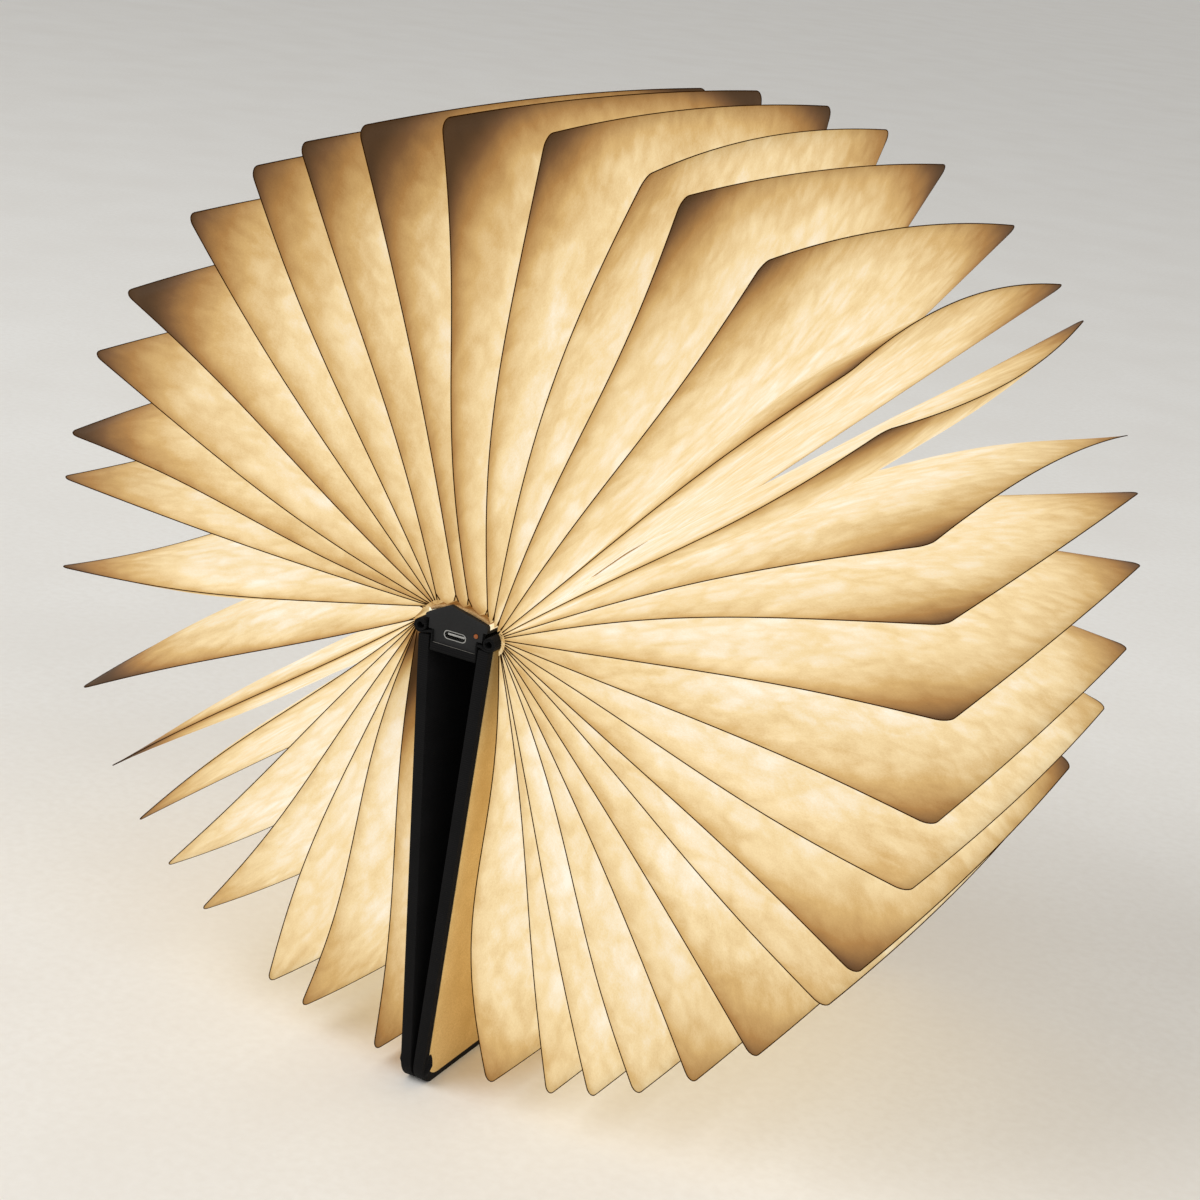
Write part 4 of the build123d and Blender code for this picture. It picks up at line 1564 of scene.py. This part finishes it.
@dataclass
class CornerFolds:
    """The lumps at the covers' free corners, where the cloth is folded over itself beside the lining.

    Attributes:
        dresser: makes the finishes.
        reach: from fold line to free edge.
        length: of a cover, along the spine.
        inset: from the free edge and from the cover's end to the middle of a lump.
        size: half its length and half its width.
        level: height of the lining's face over the fold line.
        rise: how far the lump stands proud of that face.
        root: how far its underside lies in the cover.
        pressed: share of its height that a lump keeps in the shut book; not used.
        pleats: how strong its pleats are, and how many waves they make.
        crumple: how strong its own unevenness is, and how many waves that makes.
        rings: rings of faces on a lump.
        segments: faces round it.
    """

    dresser: Dresser
    reach: float = 176 * MM
    length: float = 216 * MM
    inset: tuple[float, float] = (9.0 * MM, 3.0 * MM)
    size: tuple[float, float] = (6.5 * MM, 2.2 * MM)
    level: float = 0.77 * MM
    rise: float = 1.5 * MM
    root: float = 1.0 * MM
    pressed: float = 0.15
    pleats: tuple[float, float] = (0.3, 5)
    crumple: tuple[float, float] = (0.25, 3)
    rings: int = 9
    segments: int = 32

    def build(self, frame: dict[str, Any]) -> None:
        """Set a lump on both free corners of each cover.
        """
        pleat, pleat_waves = self.pleats
        crumple, crumple_waves = self.crumple
        for side, name in ((-1, "left"), (1, "right")):
            fold = Vector(next(j for j in frame["joints"] if j["name"] == f"{name}_cover_hinge")["pos_m"])
            lining = frame["nodes"][f"{name}_lining"].data.vertices
            points = [Vector((v.co.x - fold.x, 0, v.co.z - fold.z)) for v in lining]
            nearest, furthest = min(p.length for p in points), max(p.length for p in points)
            inner = [p for p in points if p.length < nearest + MM]
            outer = [p for p in points if p.length > furthest - MM]
            out = (sum(outer, Vector()) / len(outer) - sum(inner, Vector()) / len(inner)).normalized()
            proud = Vector((-side * out.z, 0, side * out.x))
            shape = bmesh.new()
            for end in (-1, 1):
                middle = fold + out * (self.reach - self.inset[0])
                middle += Vector((0, end * (self.length / 2 - self.inset[1]), 0))
                rings = []
                for ring in range(self.rings + 1):
                    share = ring / self.rings
                    line = []
                    for segment in range(self.segments):
                        turn = 2 * pi * segment / self.segments
                        right, along = share * cos(turn), share * sin(turn)
                        crease = 1 + pleat * cos(pleat_waves * (right - end * along))
                        crease += crumple * noise.noise(
                            Vector((right * crumple_waves, along * crumple_waves, side))
                        )
                        swell = (self.rise + self.root) * (1 - share**2) * crease / (1 + pleat)
                        spot = middle + out * (right * self.size[0]) + proud * (self.level - self.root + swell)
                        line.append(shape.verts.new(spot + Vector((0, along * self.size[1], 0))))
                    rings.append(line)
                bottom = shape.verts.new(middle + proud * (self.level - 2 * self.root))
                for first, second in zip(rings, rings[1:]):
                    for segment in range(self.segments):
                        after = (segment + 1) % self.segments
                        shape.faces.new((first[segment], first[after], second[after], second[segment]))
                for segment in range(self.segments):
                    shape.faces.new((rings[-1][segment], rings[-1][(segment + 1) % self.segments], bottom))
            bmesh.ops.remove_doubles(shape, verts=shape.verts, dist=MERGE)
            bmesh.ops.recalc_face_normals(shape, faces=shape.faces)
            mesh = bpy.data.meshes.new(f"{name}_corner_folds")
            shape.to_mesh(mesh)
            shape.free()
            mesh.shade_smooth()
            piece = bpy.data.objects.new(f"{name}_corner_folds", mesh)
            bpy.context.scene.collection.objects.link(piece)
            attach(piece, f"{name}_cover")
            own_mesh(piece)
            self.dresser.dress(piece, Finishes.COVER_CLOTH)
            log.info("%s folded", piece.name)


@dataclass
class KeptNodes:
    """CAD nodes that stay as they are and get their finish."""

    dresser: Dresser

    def build(self, frame: dict[str, Any]) -> None:
        """Dress every CAD node that no piece stands for.
        """
        for part in frame["record"]["subparts"]:
            node = frame["nodes"][part["node"]]
            if not node.hide_render:
                self.dresser.dress(node, Finishes[part["material_slot"].upper()])


# ----------------------------------------------------------------------------------------------- the stage


@dataclass(frozen=True)
class SoftLamp:
    """A large soft lamp that points at the object.

    Attributes:
        name: the lamp's name.
        place: where it hangs.
        power: in watts.
    """

    name: str
    place: tuple[float, float, float]
    power: float


@dataclass
class Studio:
    """Floor, soft light and camera.

    Attributes:
        eye: where the camera stands.
        forward: where it looks.
        up: its upward direction, rolled as in the photograph.
        lens: focal length in millimetres, on a sensor 36 mm wide.
        seen: from how near to how far the camera sees.
        half_floor: from the middle of the floor to its sides.
        lamps: the soft lamps.
        lamp_size: side of a lamp.
        aim: height of the place that they point at.
        room: colour of the room that is seen.
        fill: strength of the light that the room gives.
    """

    eye: Vector = field(default_factory=lambda: Vector((0.3774, -0.7553, 0.4474)))
    forward: Vector = field(default_factory=lambda: Vector((-0.4237, 0.8471, -0.3208)))
    up: Vector = field(default_factory=lambda: Vector((-0.2483, 0.2320, 0.9405)))
    lens: float = 70.04
    seen: tuple[float, float] = (0.01, 150.0)
    half_floor: float = 40.0
    lamps: tuple[SoftLamp, ...] = (
        SoftLamp("key_light", (-1.4, -1.6, 2.2), 42.0), SoftLamp("fill_light", (1.9, -0.9, 1.3), 16.0)
    )
    lamp_size: float = 2.0
    aim: float = 0.15
    room: str = "#F4F2EE"
    fill: float = 0.55

    def camera(self) -> None:
        """Set the camera at the photograph's viewing angle."""
        data = bpy.data.cameras.new("camera")
        data.lens, data.sensor_width = self.lens, 36.0
        data.clip_start, data.clip_end = self.seen
        camera = bpy.data.objects.new("camera", data)
        bpy.context.scene.collection.objects.link(camera)
        right = self.forward.cross(self.up).normalized()
        upward = right.cross(self.forward).normalized()
        turn = Matrix((right, upward, -self.forward.normalized())).transposed()
        camera.matrix_world = Matrix.Translation(self.eye) @ turn.to_4x4()
        bpy.context.scene.camera = camera

    def floor(self) -> None:
        """Lay a pale floor that runs out of sight."""
        mesh = bpy.data.meshes.new("floor")
        corners = [(
            x * self.half_floor, y * self.half_floor, 0
        ) for x, y in ((-1, -1), (1, -1), (1, 1), (-1, 1))]
        mesh.from_pydata(corners, [], [(0, 1, 2, 3)])
        floor = bpy.data.objects.new("floor", mesh)
        bpy.context.scene.collection.objects.link(floor)
        paint = Finish("painted_floor", "#EDEBE6", "#E8E5DF", roughness=0.9, grain=4 * MM, relief=0.01 * MM)
        mesh.materials.append(paint.make())

    def light(self) -> None:
        """Hang two large soft lamps in a pale room."""
        for lamp in self.lamps:
            data = bpy.data.lights.new(lamp.name, "AREA")
            data.shape, data.size, data.energy = "SQUARE", self.lamp_size, lamp.power
            hung = bpy.data.objects.new(lamp.name, data)
            bpy.context.scene.collection.objects.link(hung)
            hung.location = lamp.place
            towards = Vector((0, 0, self.aim)) - Vector(lamp.place)
            hung.rotation_euler = towards.to_track_quat("-Z", "Y").to_euler()
        world = bpy.data.worlds.new("room")
        world.use_nodes = True
        world.node_tree.nodes.clear()
        tree = world.node_tree
        ray = add_node(tree, "ShaderNodeLightPath").outputs
        seen = ray["Is Camera Ray"]
        for other in ("Is Glossy Ray", "Is Transmission Ray"):
            seen = add_node(tree, "ShaderNodeMath", {0: seen, 1: ray[other]}, operation="MAXIMUM").outputs[0]
        shown = add_node(
            tree, "ShaderNodeBackground", {"Color": linear(self.room), "Strength": 1.0}
        ).outputs[0]
        filling = add_node(
            tree, "ShaderNodeBackground", {"Color": linear("#FFFFFF"), "Strength": self.fill}
        ).outputs[0]
        mix = add_node(tree, "ShaderNodeMixShader", {0: seen, 1: filling, 2: shown}).outputs[0]
        add_node(tree, "ShaderNodeOutputWorld", {"Surface": mix})
        bpy.context.scene.world = world

    def build(self) -> None:
        """Set the whole stage."""
        bpy.context.scene.view_settings.view_transform = "Standard"
        self.camera()
        self.floor()
        self.light()


def main() -> None:
    """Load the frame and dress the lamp."""
    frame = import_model()
    dresser = Dresser()
    Studio().build()
    Pages(dresser=dresser).build(frame)
    SoftCopies(dresser).build(frame)
    JointRolls(dresser).build(frame)
    FoldStrip(dresser).build(frame)
    Diodes(dresser).build()
    CornerFolds(dresser).build(frame)
    KeptNodes(dresser).build(frame)
    log.info("lamp dressed")


if __name__ == "__main__":
    main()
